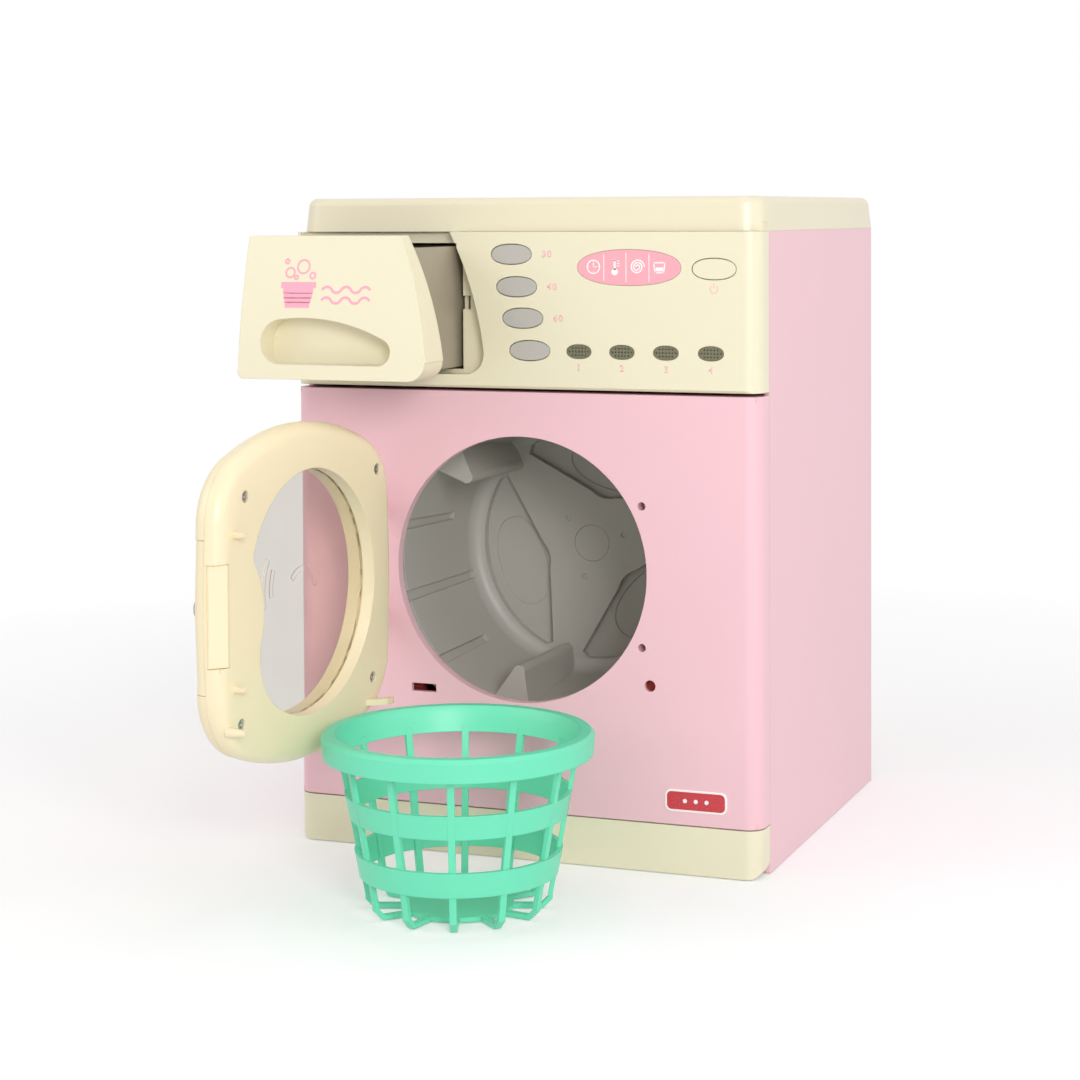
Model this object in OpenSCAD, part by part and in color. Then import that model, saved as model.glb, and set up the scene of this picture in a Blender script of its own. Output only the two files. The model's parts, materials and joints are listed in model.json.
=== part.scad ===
// Toy washing machine, millimetres.
// Origin on the floor under the middle of the cabinet, z up, the front faces -y.

/* [Cabinet] */
// width of the cabinet
cab_w = 225; // [200:1:250]
// depth of the cabinet
cab_d = 210; // [190:1:230]
// height to the top of the lid
cab_h = 299; // [280:1:320]
// moulded wall
wall = 2.4; // [1.8:0.1:3]
// radius of the upright corners
corner_r = 8; // [5:0.5:10]
// depth of the front pieces round the corner
wrap = 14.3; // [12:0.1:18]
// height of the plinth
plinth_h = 21.5; // [18:0.5:26]
// lower edge of the pink front
front_lo = 22; // [20:0.5:28]
// upper edge of the pink front
front_hi = 211.5; // [205:0.5:214]
// lower edge of the fascia
fascia_lo = 213; // [210:0.5:216]
// underside of the lid
lid_lo = 283.6; // [280:0.2:288]

/* [Drum] */
// height of the drum axis
drum_z = 131.3; // [125:0.1:136]
// radius of the hole in the front
hole_r = 60.2; // [56:0.1:64]
// outer radius of the drum at its mouth
drum_r = 72.5; // [68:0.1:76]
// depth of the drum mouth behind the front plane
mouth_y = 6; // [5:0.5:8]
// depth of the hub plate behind the front plane
hub_y = 94; // [88:0.5:98]
// angle of the first paddle
paddle_a = 16; // [0:1:119]
// radius of the paddle tips
paddle_tip = 51; // [46:0.5:56]
// teeth of the drum gear
gear_teeth = 60; // [48:6:72]
// teeth of the pinion
pinion_teeth = 12; // [12:2:16]
// module of the gear pair
gear_m = 1; // [0.8:0.1:1.2]

/* [Door] */
// half width of the door
door_hw = 70; // [66:0.5:74]
// half height of the door
door_hh = 72; // [68:0.5:76]
// radius of the door corners
door_rc = 30; // [26:0.5:36]
// radius of the bowed top and bottom
door_rt = 128; // [110:1:150]
// radius of the bowed sides
door_rs = 500; // [400:10:800]
// thickness of the door
door_t = 14; // [12:0.5:16]
// thickness of the inner half
door_split = 7; // [6:0.1:8]
// edge rounding of the inner half
door_ri = 6; // [4:0.1:6.5]
// edge rounding of the outer half
door_ro = 6; // [4:0.1:6.5]
// gap between the shut door and the front
door_gap = 0.6; // [0.4:0.1:1]
// radius of the window
window_r = 52.5; // [48:0.5:55]
// hinge axis left of the middle
hinge_x = 69.3; // [66:0.1:70]
// hinge axis in front of the front plane
hinge_y = 14.5; // [12:0.1:16]
// opening angle shown
door_open = 95.3; // [0:0.1:100]

/* [Drawer] */
// how far the drawer stands out
drawer_out = 51; // [0:1:60]
// length of the drawer box
drawer_len = 86; // [70:1:92]
// depth of the recess for the drawer face
recess = 7.4; // [6:0.1:9]

/* [Buttons] */
// half width of an oval button
but_a = 9.6; // [9:0.1:11]
// half height of an oval button
but_b = 4.4; // [4:0.1:5.4]
// travel of a button
but_travel = 2; // [1.5:0.1:2.5]
// gap round a button
but_gap = 0.35; // [0.3:0.05:0.5]

/* [Basket] */
// outer radius of the basket rim
basket_r = 57.5; // [52:0.5:62]
// height of the basket
basket_h = 75; // [68:0.5:80]
// ribs round the basket
basket_ribs = 12; // [10:1:16]

/* [Hidden] */
$fn = 64;
oval_n = 40;
oval_fill = 0.9;
fy = -cab_d / 2;
hx = cab_w / 2;
by = cab_d / 2;
in_x = hx - wall;
back_of_front = fy + wall;
seam_y = fy + wrap;
seam = 0.3;
over = 1;

lid_setback = 4;
lid_front_r = 12;
lid_edge = 4;
lid_wall = 2.4;

tray_lo = 2;
tray_hi = 4.4;
foot_r = 7;
foot_x = 92;
foot_y = 84;

post_r = 4;
screw_r = 1.45;
screw_fit = 0.05;
screw_head = 3;
case_screw_x = 98;
case_screw_y = 70;

board_y = fy + 14;
board_t = 1.6;
board_x0 = -15;
board_x1 = 104;
board_z0 = 222;
board_z1 = 280;
board_posts = [[25, 277], [62, 277], [98, 277], [39, 226], [80, 226]];

fn_x = [-3.6, -1.1, 1.8, 5.1];
fn_z = [273.5, 258.9, 244.8, 230.3];
power_x = 91.7;
power_z = 267.2;
power_a = 9.9;
power_b = 4.55;
led_x = [28.7, 49, 69.5, 90.2];
led_z = 230.2;
led_a = 5.95;
led_b = 3.3;
badge_x = 52.4;
badge_z = 267.7;
badge_a = 24.2;
badge_b = 7.95;
flange = 1.3;
flange_t = 1.2;
stem_r = 2;
tip_r = 1.5;
tip_bore = 1.8;

lip_r = 164.2;
lip_cx = -180.2;
lip_cz = 209.4;
rec_x0 = -108.5;
rec_z0 = 219.1;
rec_cr = 8.8;
rec_cx = -26.2;
rec_cz = rec_z0 + rec_cr;
rec_bl = 3;
mouth_x0 = -105;
mouth_x1 = -30.3;
mouth_z0 = 221;
mouth_z1 = 278.4;
drawer_gap = 0.7;
face_lean = 313;
box_x0 = -104;
box_x1 = -32.5;
box_z0 = 222;
box_z1 = 277;
box_t = 1.8;
tunnel_t = 1.8;

spindle_r = 4;
spindle_fit = 0.05;
bulk_y = 12;
bulk_t = 2.4;
gear_y = fy + hub_y + 10;
gear_w = 6;
gear_c = gear_m * (gear_teeth + pinion_teeth) / 2;
motor_z = drum_z - gear_c;
motor_r = 10.1;
motor_len = 25;
shaft_r = 1;

peg_x = 57.9;
peg_z = [162.2, 99.3];
peg_hole = 1.8;
key_x = 61.6;
key_z = 82.6;
key_hole = 2.55;
slot_x = -47.7;
slot_z = 75;
slot_w = 12.2;
slot_h = 3.7;

notch_z = [157.4, 107.1];
lug_h = 7;
lug_fit = 0.4;
lug_t = 5;
knuckle_r = 3.4;
pin_r = 1.5;
pin_fit = 0.1;
barrel_h = 4.5;

batt_r = 7.25;
batt_len = 50.5;
batt_y = by - 11.2;
batt_z = [21, 37];
batt_x0 = 58;
batt_z0 = 11;
batt_z1 = 47;

speaker_x = 45;
speaker_z = 175;
speaker_r = 20;

basket_x = 3.5;
basket_y = fy - 79.2;
basket_a0 = -70.3;

cream = [0.95, 0.93, 0.82];
pink = [0.96, 0.80, 0.83];
mint = [0.55, 0.92, 0.80];
grey = [0.56, 0.55, 0.53];
button_grey = [0.74, 0.73, 0.69];
taupe = [0.58, 0.52, 0.42];
steel = [0.72, 0.72, 0.74];

// a slab of an x-z outline, from depth d behind the front plane and t thick
module front_slab(d, t) {
    translate([0, fy + d + t, 0])
        rotate([90, 0, 0])
            linear_extrude(t)
                children();
}

// a shape of revolution about y, profile as radius and distance along +y
module about_y(x, y, z) {
    translate([x, y, z])
        rotate([-90, 0, 0])
            rotate_extrude()
                children();
}

// a rod along +y
module rod_y(x, y, z, r, len) {
    translate([x, y, z])
        rotate([-90, 0, 0])
            cylinder(r = r, h = len);
}

// plan outline of the cabinet drawn in by g
module plan(g = 0) {
    r = corner_r - g;
    square([cab_w - 2 * g, cab_d - 2 * corner_r], center = true);
    square([cab_w - 2 * corner_r, cab_d - 2 * g], center = true);
    for (sx = [-1, 1], sy = [-1, 1])
        translate([sx * (hx - corner_r), sy * (by - corner_r)])
            circle(r);
}

// oval of half axes a and b, its ends a little fuller than an ellipse's
module oval(a, b) {
    polygon([for (i = [0:oval_n - 1])
        let (c = cos(360 * i / oval_n), s = sin(360 * i / oval_n))
            [a * sign(c) * pow(abs(c), oval_fill), b * sign(s) * pow(abs(s), oval_fill)]]);
}

// points of an arc round c from angle a0 to a1 in n steps, without its last point
function arc_points(c, r, a0, a1, n) = [for (i = [0:n - 1])
    let (a = a0 + (a1 - a0) * i / n) c + r * [cos(a), sin(a)]];

// front piece of the cabinet: plate with rounded corners and two short returns
module front_wrap(z0, z1) {
    translate([0, 0, z0])
        linear_extrude(z1 - z0)
            difference() {
                plan();
                plan(wall);
                translate([-hx - over, seam_y])
                    square([cab_w + 2 * over, cab_d]);
            }
}

module side_shell() {
    color(pink) {
        difference() {
            union() {
                linear_extrude(lid_lo)
                    difference() {
                        plan();
                        plan(wall);
                        translate([-hx - over, fy - over])
                            square([cab_w + 2 * over, wrap + seam + over]);
                    }
                for (s = [-1, 1]) {
                    side_tongue(s, 6, 19);
                    side_tongue(s, 30, 205);
                    side_tongue(s, 222, 276);
                    for (y = [-45, 0, 45])
                        translate([s * (in_x - 1.3), y, 132])
                            cube([3, 1.8, 236], center = true);
                    for (y = [-case_screw_y, case_screw_y])
                        screw_post(s, y);
                }
                for (x = [-70, 0, 70])
                    translate([x, by - wall - 1.5, 160])
                        cube([1.8, 3.4, 180], center = true);
            }
            battery_hatch(0.3);
            for (i = [-3:3])
                translate([speaker_x, by, speaker_z + i * 5])
                    rotate([90, 0, 0])
                        linear_extrude(8, center = true)
                            slot_2d(2 * sqrt(17 * 17 - 25 * i * i), 2.2);
            translate([speaker_x, by - wall - 4, speaker_z])
                cube([2 * speaker_r + 2, 8, 2 * speaker_r + 2], center = true);
        }
    }
}

module slot_2d(len, h) {
    square([len - h, h], center = true);
    for (s = [-1, 1])
        translate([s * (len - h) / 2, 0])
            circle(h / 2);
}

module side_tongue(s, z0, z1) {
    t = 1.6;
    translate([s > 0 ? in_x - t : -in_x, fy + corner_r + 2, z0])
        cube([t, wrap - corner_r + 4, z1 - z0]);
}

module screw_post(s, y) {
    difference() {
        union() {
            translate([s * case_screw_x, y, tray_hi])
                cylinder(r = post_r, h = 30);
            translate([s > 0 ? case_screw_x : -in_x - 0.2, y - 1, tray_hi])
                cube([in_x - case_screw_x + 0.2, 2, 30]);
        }
        translate([s * case_screw_x, y, tray_hi - over])
            cylinder(r = screw_r, h = 20);
    }
}

// the opening for the battery door, grown by g, and its step
module battery_hatch(g) {
    translate([-batt_x0 + 3 - g, by - wall - over, batt_z0 + 2 - g])
        cube([2 * (batt_x0 - 3 + g), wall + 2 * over, batt_z1 - batt_z0 - 4 + 2 * g]);
}

module front_panel() {
    color(pink) {
        difference() {
            union() {
                front_wrap(front_lo, front_hi);
                front_slab(wall, 2.6)
                    translate([0, drum_z])
                        circle(hole_r + wall);
                for (z = peg_z)
                    rod_y(peg_x, back_of_front - 0.2, z, peg_hole + 2, 6.2);
                for (s = [-1, 1])
                    for (z = [front_lo + 8, front_hi - 10])
                        rod_y(s * 92, back_of_front - 0.2, z, post_r, 12.2);
                for (z = [front_lo + 1.2, front_hi - 1.2])
                    translate([0, fy + wrap / 2 + 1, z])
                        cube([2 * in_x + 0.4, wrap - 2, 2.4], center = true);
            }
            front_slab(-over, wrap)
                translate([0, drum_z])
                    circle(hole_r);
            for (z = peg_z)
                rod_y(peg_x, fy - over, z, peg_hole, 12);
            rod_y(key_x, fy - over, key_z, key_hole, 12);
            front_slab(-over, 6)
                translate([slot_x, slot_z])
                    square([slot_w, slot_h], center = true);
            for (s = [-1, 1])
                for (z = [front_lo + 8, front_hi - 10])
                    rod_y(s * 92, back_of_front + 2, z, screw_r, 12);
        }
        for (z = notch_z)
            hinge_lug(z);
    }
}

// one arm of the hinge standing out of the front, with its knuckle on the axis
module hinge_lug(z) {
    difference() {
        union() {
            translate([-hinge_x - lug_t / 2, fy - hinge_y, z - lug_h / 2])
                cube([lug_t, hinge_y + 0.2, lug_h]);
            translate([-hinge_x, fy - hinge_y, z - lug_h / 2])
                cylinder(r = knuckle_r, h = lug_h);
            translate([-hinge_x - lug_t / 2 - 1.5, fy - 0.6 + 0.2, z - lug_h / 2])
                cube([lug_t + 3, 0.4, lug_h]);
        }
        translate([-hinge_x, fy - hinge_y, z - lug_h])
            cylinder(r = pin_r, h = 2 * lug_h);
    }
}

module base_tray() {
    foot_round = 6;
    color(cream) {
        intersection() {
            front_wrap(0, plinth_h);
            front_slab(-over, wrap + 2 * over)
                union() {
                    translate([-hx, foot_round])
                        square([cab_w, plinth_h]);
                    translate([-hx + foot_round, 0])
                        square([cab_w - 2 * foot_round, foot_round + over]);
                    for (s = [-1, 1])
                        translate([s * (hx - foot_round), foot_round])
                            circle(foot_round);
                }
        }
        difference() {
            union() {
                translate([0, 0, tray_lo])
                    linear_extrude(tray_hi - tray_lo)
                        intersection() {
                            plan(wall);
                            translate([-in_x, fy])
                                square([2 * in_x, cab_d]);
                        }
                for (x = [-60, -20, 20, 60])
                    translate([x - 0.9, back_of_front - 0.2, tray_hi - 0.2])
                        cube([1.8, 22, 12]);
                for (y = [-60, 40])
                    translate([-95, y, tray_hi - 0.2])
                        cube([190, 1.8, 4.2]);
                translate([-105, -1.5, 0])
                    cube([210, 3, tray_lo + 0.2]);
                translate([-1.5, -95, 0])
                    cube([3, 190, tray_lo + 0.2]);
            }
            for (sx = [-1, 1], sy = [-1, 1]) {
                translate([sx * case_screw_x, sy * case_screw_y, 0])
                    cylinder(r = screw_r + 0.3, h = 10);
                side_post_clear(sx, sy);
            }
        }
    }
}

// room in the tray for the side shell's upright ribs
module side_post_clear(sx, sy) {
    translate([sx * (in_x - 0.5), sy * 45, 8])
        cube([8, 4, 6], center = true);
}

// recess outline of the drawer face, drawn in by g; open at the top unless capped by top
module recess_2d(g = 0, top = 300) {
    r = rec_cr - g;
    intersection() {
        translate([lip_cx, lip_cz])
            circle(lip_r - g);
        union() {
            translate([rec_x0 + g, rec_cz])
                square([100, top - rec_cz]);
            translate([rec_x0 + g + rec_bl, rec_z0 + g])
                square([rec_cx - rec_x0 - g - rec_bl, rec_cz - rec_z0 - g]);
            translate([rec_x0 + g, rec_z0 + g + rec_bl])
                square([rec_cx - rec_x0 - g, rec_cz - rec_z0 - g - rec_bl + 0.1]);
            translate([rec_x0 + g + rec_bl, rec_z0 + g + rec_bl])
                circle(rec_bl);
            translate([rec_cx, rec_cz])
                circle(r);
        }
    }
}

module button_hole(x, z, a, b) {
    translate([x, z])
        oval(a + but_gap, b + but_gap);
}

module control_panel() {
    h = lid_lo - fascia_lo;
    color(cream)
        difference() {
            union() {
                front_wrap(fascia_lo, lid_lo);
                intersection() {
                    front_slab(0, recess + 2)
                        recess_2d(-2, lid_lo);
                    translate([-in_x - 0.1, fy, fascia_lo])
                        cube([2 * in_x, wrap, h]);
                }
                for (q = board_posts)
                    rod_y(q[0], back_of_front - 0.2, q[1], 2.6, board_y - back_of_front + 0.2);
                translate([-in_x - 0.1, back_of_front - 0.1, fascia_lo])
                    cube([2 * in_x + 0.2, wrap - wall - 2, 2]);
            }
            front_slab(-over, recess + over)
                recess_2d(0, lid_lo + over);
            translate([mouth_x0, fy, mouth_z0])
                cube([mouth_x1 - mouth_x0, 20, mouth_z1 - mouth_z0]);
            translate([mouth_x1 - over, fy, 248.3])
                cube([3.7 + over, 20, 6.1]);
            front_slab(-over, wall + 2 * over)
                union() {
                    for (i = [0:3]) {
                        button_hole(fn_x[i], fn_z[i], but_a, but_b);
                        translate([led_x[i], led_z])
                            oval(led_a, led_b);
                    }
                    button_hole(power_x, power_z, power_a, power_b);
                }
            front_slab(-over, over + 1)
                translate([badge_x, badge_z])
                    oval(badge_a + 0.1, badge_b + 0.1);
            translate([0, fy, fascia_lo])
                rotate([45, 0, 0])
                    cube([cab_w + 2, 1.6, 1.6], center = true);
        }
}

// quarter-round sweep of a 2-d section round the lid outline; section x runs outward from the outline
module lid_sweep() {
    rb = corner_r;
    rf = lid_front_r;
    y0 = fy + lid_setback + rf;
    y1 = by - rb;
    for (s = [0, 1]) {
        mirror([s, 0, 0])
            translate([hx - rf, y0, 0])
                rotate([0, 0, -90])
                    rotate_extrude(angle = 90)
                        translate([rf, 0])
                            children();
        mirror([s, 0, 0])
            translate([hx - rb, y1, 0])
                rotate_extrude(angle = 90)
                    translate([rb, 0])
                        children();
        mirror([s, 0, 0])
            translate([hx, y1, 0])
                rotate([90, 0, 0])
                    linear_extrude(y1 - y0)
                        children();
    }
    translate([-hx + rf, y0 - rf, 0])
        rotate([90, 0, -90])
            mirror([0, 0, 1])
                linear_extrude(cab_w - 2 * rf)
                    children();
    translate([hx - rb, y1 + rb, 0])
        rotate([90, 0, 90])
            mirror([0, 0, 1])
                linear_extrude(cab_w - 2 * rb)
                    children();
}

// section of the lid rim: drafted side, rounded upper edge, hollow below
module lid_section() {
    draft = 1.4;
    e = lid_edge;
    h = cab_h - lid_lo;
    t = lid_wall;
    difference() {
        union() {
            polygon([[-t, 0], [0, 0], [-draft, h - e], [-draft - t, h - e]]);
            translate([-draft - e, h - e])
                intersection() {
                    circle(e);
                    square(e);
                }
            translate([-7, h - t])
                square([7 - draft - e + 0.01, t]);
        }
        translate([-draft - e, h - e])
            intersection() {
                circle(e - t);
                translate([-0.01, 0])
                    square(e);
            }
    }
}

module top_lid() {
    h = cab_h - lid_lo;
    color(cream) {
        translate([0, 0, lid_lo])
            lid_sweep()
                lid_section();
        translate([-hx + 6.5, fy + lid_setback + 6.5, cab_h - lid_wall])
            cube([cab_w - 13, cab_d - lid_setback - 13, lid_wall]);
        for (y = [-60, 0, 60])
            translate([-hx + 4, y, cab_h - lid_wall - 4])
                cube([cab_w - 8, 1.8, 4.2]);
        for (s = [-1, 1])
            for (y = [-50, 20, 80])
                translate([s > 0 ? in_x - 3 : -in_x, y, lid_lo - 5])
                    cube([3, 8, h + 5 - lid_wall + 0.2]);
        for (x = [-60, 40])
            translate([x, by - wall - 3, lid_lo - 5])
                cube([8, 3, h + 5 - lid_wall + 0.2]);
        for (x = [-4, 70])
            translate([x, fy + lid_setback + 2, lid_lo - 1.5])
                cube([8, 3, h + 1.5 - lid_wall + 0.2]);
        for (s = [-1, 1])
            translate([s > 0 ? in_x - 2 : -in_x, fy + 10.5, lid_lo - 0.01])
                cube([4.2, 2, 4]);
    }
}

module drawer_tunnel() {
    y0 = fy + recess + 2;
    len = drawer_len + 6;
    t = tunnel_t;
    color(cream)
        difference() {
            union() {
                translate([mouth_x0 - t, y0, mouth_z0 - t])
                    difference() {
                        cube([mouth_x1 - mouth_x0 + 2 * t, len, mouth_z1 - mouth_z0 + 2 * t]);
                        translate([t, -over, t])
                            cube([mouth_x1 - mouth_x0, len - t + over, mouth_z1 - mouth_z0]);
                    }
                for (x = [box_x0 + 6, box_x1 - 8])
                    translate([x, y0, mouth_z0 - 0.2])
                        cube([2, len - t, box_z0 - mouth_z0 - 0.1]);
                for (y = [y0 + 20, y0 + 70])
                    translate([mouth_x1 + t - 0.2, y, mouth_z0 + 10])
                        cube([3, 1.8, 40]);
            }
            for (x = [-90, -68, -46])
                translate([x - 7, y0 + 20, mouth_z0 - t - over])
                    cube([14, 50, t + 2 * over]);
        }
}

module icon_badge() {
    color([0.97, 0.62, 0.72])
        front_slab(0, 1)
            translate([badge_x, badge_z])
                oval(badge_a, badge_b);
}

module led_windows() {
    color([0.45, 0.44, 0.34])
        for (x = led_x)
            difference() {
                union() {
                    front_slab(0.2, wall - 0.2)
                        translate([x, led_z])
                            oval(led_a - 0.1, led_b - 0.1);
                    front_slab(wall, 0.8)
                        translate([x, led_z])
                            oval(led_a + 1, led_b + 1);
                }
                rod_y(x, back_of_front - 1, led_z, 2.2, 3);
                for (i = [-3:3], j = [-1:1])
                    if (abs(i) < 3 || j == 0)
                        rod_y(x + 1.5 * i, fy - over, led_z + 1.6 * j, 0.35, over + 0.9);
            }
}

module led_board() {
    color([0.25, 0.42, 0.28])
        difference() {
            translate([board_x0, board_y, board_z0])
                cube([board_x1 - board_x0, board_t, board_z1 - board_z0]);
            for (q = board_posts)
                rod_y(q[0], board_y - over, q[1], 1.1, 5);
        }
}

module leds() {
    color([0.9, 0.85, 0.75])
        for (x = led_x) {
            rod_y(x, board_y - 3.6, led_z, 1.5, 3.6);
            rod_y(x, board_y - 1, led_z, 1.9, 1);
            translate([x, board_y - 3.6, led_z])
                sphere(1.5);
        }
}

module tact_switches() {
    color([0.15, 0.15, 0.16])
        for (i = [0:4]) {
            x = i < 4 ? fn_x[i] : power_x;
            z = i < 4 ? fn_z[i] : power_z;
            difference() {
                translate([x - 3.5, board_y - 5.5, z - 3.5])
                    cube([7, 5.5, 7]);
                rod_y(x, board_y - 6.5, z, tip_bore, 5.5);
            }
        }
}

// an oval key on its stem, cap a by b at x, z
module oval_key(x, z, a, b, deep) {
    difference() {
        front_slab(deep, wall + 0.3 - deep)
            translate([x, z])
                oval(a, b);
        front_slab(deep + 1.4, 3)
            translate([x, z])
                oval(a - 1.5, b - 1.5);
    }
    front_slab(wall + 0.3, flange_t)
        translate([x, z])
            oval(a + flange, b + flange);
    rod_y(x, fy + wall + 0.3 + flange_t - 0.1, z, stem_r, 2.4);
    rod_y(x, fy + wall + 0.3 + flange_t, z, tip_r, board_y - 4.2 - fy - wall - 0.3 - flange_t);
    rod_y(x, fy + deep + 1.2, z, stem_r, 2);
}

module function_button_1() {
    color(button_grey)
        oval_key(fn_x[0], fn_z[0], but_a, but_b, 0.5);
}

module function_button_2() {
    color(button_grey)
        oval_key(fn_x[1], fn_z[1], but_a, but_b, 0.5);
}

module function_button_3() {
    color(button_grey)
        oval_key(fn_x[2], fn_z[2], but_a, but_b, 0.5);
}

module function_button_4() {
    color(button_grey)
        oval_key(fn_x[3], fn_z[3], but_a, but_b, 0.5);
}

module power_button() {
    color(cream)
        oval_key(power_x, power_z, power_a, power_b, 0.3);
}

module bearing_plate() {
    w = 130;
    z1 = 196;
    color(grey)
        difference() {
            union() {
                translate([-w / 2, bulk_y, tray_hi])
                    cube([w, bulk_t, z1 - tray_hi]);
                rod_y(0, bulk_y - 4, drum_z, 12, bulk_t + 12);
                for (x = [-w / 2, -28, 26, w / 2 - 2])
                    translate([x, bulk_y + bulk_t - 0.2, tray_hi])
                        cube([2, 10, z1 - tray_hi]);
                for (z = [30, 168, z1 - 2])
                    translate([-w / 2, bulk_y + bulk_t - 0.2, z])
                        cube([w, 6, 2]);
                translate([-w / 2, bulk_y, tray_hi])
                    cube([w, 20, 2.4]);
            }
            rod_y(0, bulk_y - 5, drum_z, 8, 30);
            rod_y(0, bulk_y - over, motor_z, 4, 6);
        }
}

module spindle_bush() {
    color([0.85, 0.75, 0.45])
        difference() {
            union() {
                rod_y(0, bulk_y - 4, drum_z, 8, bulk_t + 12);
                rod_y(0, bulk_y - 5.2, drum_z, 9.6, 1.2);
            }
            rod_y(0, bulk_y - 8, drum_z, spindle_r + spindle_fit, 40);
        }
}

module motor() {
    y0 = bulk_y + bulk_t;
    color(steel)
        difference() {
            union() {
                intersection() {
                    rod_y(0, y0, motor_z, motor_r, motor_len);
                    translate([-20, y0 - 1, motor_z - 7.6])
                        cube([40, motor_len + 2, 15.2]);
                }
                rod_y(0, bulk_y - 1, motor_z, 3, 4);
                for (s = [-1, 1])
                    translate([s * 5 - 0.4, y0 + motor_len - 0.2, motor_z - 1.5])
                        cube([0.8, 4, 3]);
            }
            rod_y(0, bulk_y - 3, motor_z, shaft_r + 0.05, 26);
        }
}

module motor_clamp() {
    y0 = bulk_y + bulk_t;
    color([0.3, 0.3, 0.32])
        difference() {
            translate([-14, y0, motor_z - 10])
                cube([28, 14, 20]);
            intersection() {
                rod_y(0, y0 - 1, motor_z, motor_r, motor_len);
                translate([-20, y0 - 2, motor_z - 7.6])
                    cube([40, motor_len + 4, 15.2]);
            }
        }
}

// spur gear outline with n teeth, drawn thinner by back
module gear_2d(n, back) {
    rp = gear_m * n / 2;
    ra = rp + 0.9 * gear_m;
    rf = rp - 1.15 * gear_m;
    hp = 90 / n - back / rp * 28.6;
    ha = hp * 0.42;
    hf = hp * 1.5;
    polygon([for (i = [0:n - 1], p = [[rf, -hf], [rp, -hp], [ra, -ha], [ra, ha], [rp, hp], [rf, hf]])
        p[0] * [cos(i * 360 / n + p[1]), sin(i * 360 / n + p[1])]]);
}

module drum_gear() {
    color([0.93, 0.93, 0.9])
        translate([0, gear_y, drum_z])
            rotate([-90, 0, 0])
                difference() {
                    linear_extrude(gear_w)
                        gear_2d(gear_teeth, 0.16);
                    translate([0, 0, -over])
                        cylinder(r = spindle_r, h = gear_w + 2 * over);
                    translate([0, 0, 1.8])
                        difference() {
                            cylinder(r = 26, h = gear_w);
                            cylinder(r = 8, h = gear_w);
                        }
                    for (a = [0:60:300])
                        rotate([0, 0, a])
                            translate([17, 0, -over])
                                cylinder(r = 5, h = gear_w);
                }
}

module motor_pinion() {
    color([0.95, 0.95, 0.92])
        translate([0, gear_y, motor_z])
            rotate([-90, 0, 0])
                difference() {
                    linear_extrude(gear_w)
                        rotate(90 + 180 / pinion_teeth)
                            gear_2d(pinion_teeth, 0.16);
                    translate([0, 0, -over])
                        cylinder(r = shaft_r, h = gear_w + 2 * over);
                }
}

module motor_shaft() {
    color(steel)
        rod_y(0, gear_y, motor_z, shaft_r, bulk_y + bulk_t + 6 - gear_y);
}

module battery_box() {
    t = 2;
    y0 = batt_y - batt_r - 1 - t;
    x = batt_x0;
    color([0.25, 0.25, 0.27])
        difference() {
            translate([-x, y0, batt_z0])
                cube([2 * x, by - wall - y0, batt_z1 - batt_z0]);
            translate([-x + t, y0 + t, batt_z0 + t])
                cube([2 * x - 2 * t, 40, batt_z1 - batt_z0 - 2 * t]);
            translate([-1, y0 + t - 1.2, batt_z0 + 6])
                cube([2, 3, batt_z1 - batt_z0 - 12]);
        }
    color([0.25, 0.25, 0.27])
        for (s = [-1, 1])
            translate([s * 40 - 1, y0 + 2, tray_hi])
                cube([2, 14, batt_z0 - tray_hi]);
}

module battery_cells() {
    color([0.35, 0.37, 0.4])
        for (s = [-1, 1], z = batt_z)
            translate([s * 1.6, batt_y, z])
                rotate([0, s * 90, 0]) {
                    cylinder(r = batt_r, h = batt_len - 1.2);
                    cylinder(r = 2.7, h = batt_len);
                }
}

module battery_contacts() {
    t = 0.6;
    h = batt_z[1] - batt_z[0] + 12;
    color(steel) {
        for (s = [-1, 1])
            translate([s > 0 ? batt_x0 - 2 - t : -batt_x0 + 2, batt_y - 5, batt_z[0] - 6])
                cube([t, 10, h]);
        for (s = [-1, 1], z = batt_z)
            translate([s * (batt_len + 1.6), batt_y, z])
                rotate([0, s * 90, 0])
                    cylinder(r = 2.6, h = batt_x0 - 2 - t - batt_len - 1.6);
    }
}

module battery_door() {
    x = batt_x0 - 3;
    color(pink)
        difference() {
            union() {
                translate([-x, by - wall, batt_z0 + 2])
                    cube([2 * x, wall, batt_z1 - batt_z0 - 4]);
                for (s = [-1, 1])
                    translate([s * 30 - 4, by - wall - 1.4, batt_z0 + 2.4])
                        cube([8, 1.6, 3]);
                for (i = [-2:2])
                    translate([i * 6 - 0.8, by - 0.2, batt_z0 + 10])
                        cube([1.6, 0.8, 14]);
            }
            rod_y(0, by - wall - over, batt_z1 - 5.5, screw_r + 0.2, 6);
            rod_y(0, by - 1.2, batt_z1 - 5.5, screw_head, 6);
        }
}

module battery_screw() {
    color(steel)
        difference() {
            union() {
                rod_y(0, by - 1.2, batt_z1 - 5.5, screw_head - 0.1, 0.9);
                rod_y(0, by - 6, batt_z1 - 5.5, screw_r, 5);
            }
            cross_slot(0, by - 0.9, batt_z1 - 5.5);
        }
}

// cross recess cut into a screw head that faces +y
module cross_slot(x, y, z) {
    translate([x, y + 1, z]) {
        cube([3, 2, 0.6], center = true);
        cube([0.6, 2, 3], center = true);
    }
}

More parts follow.
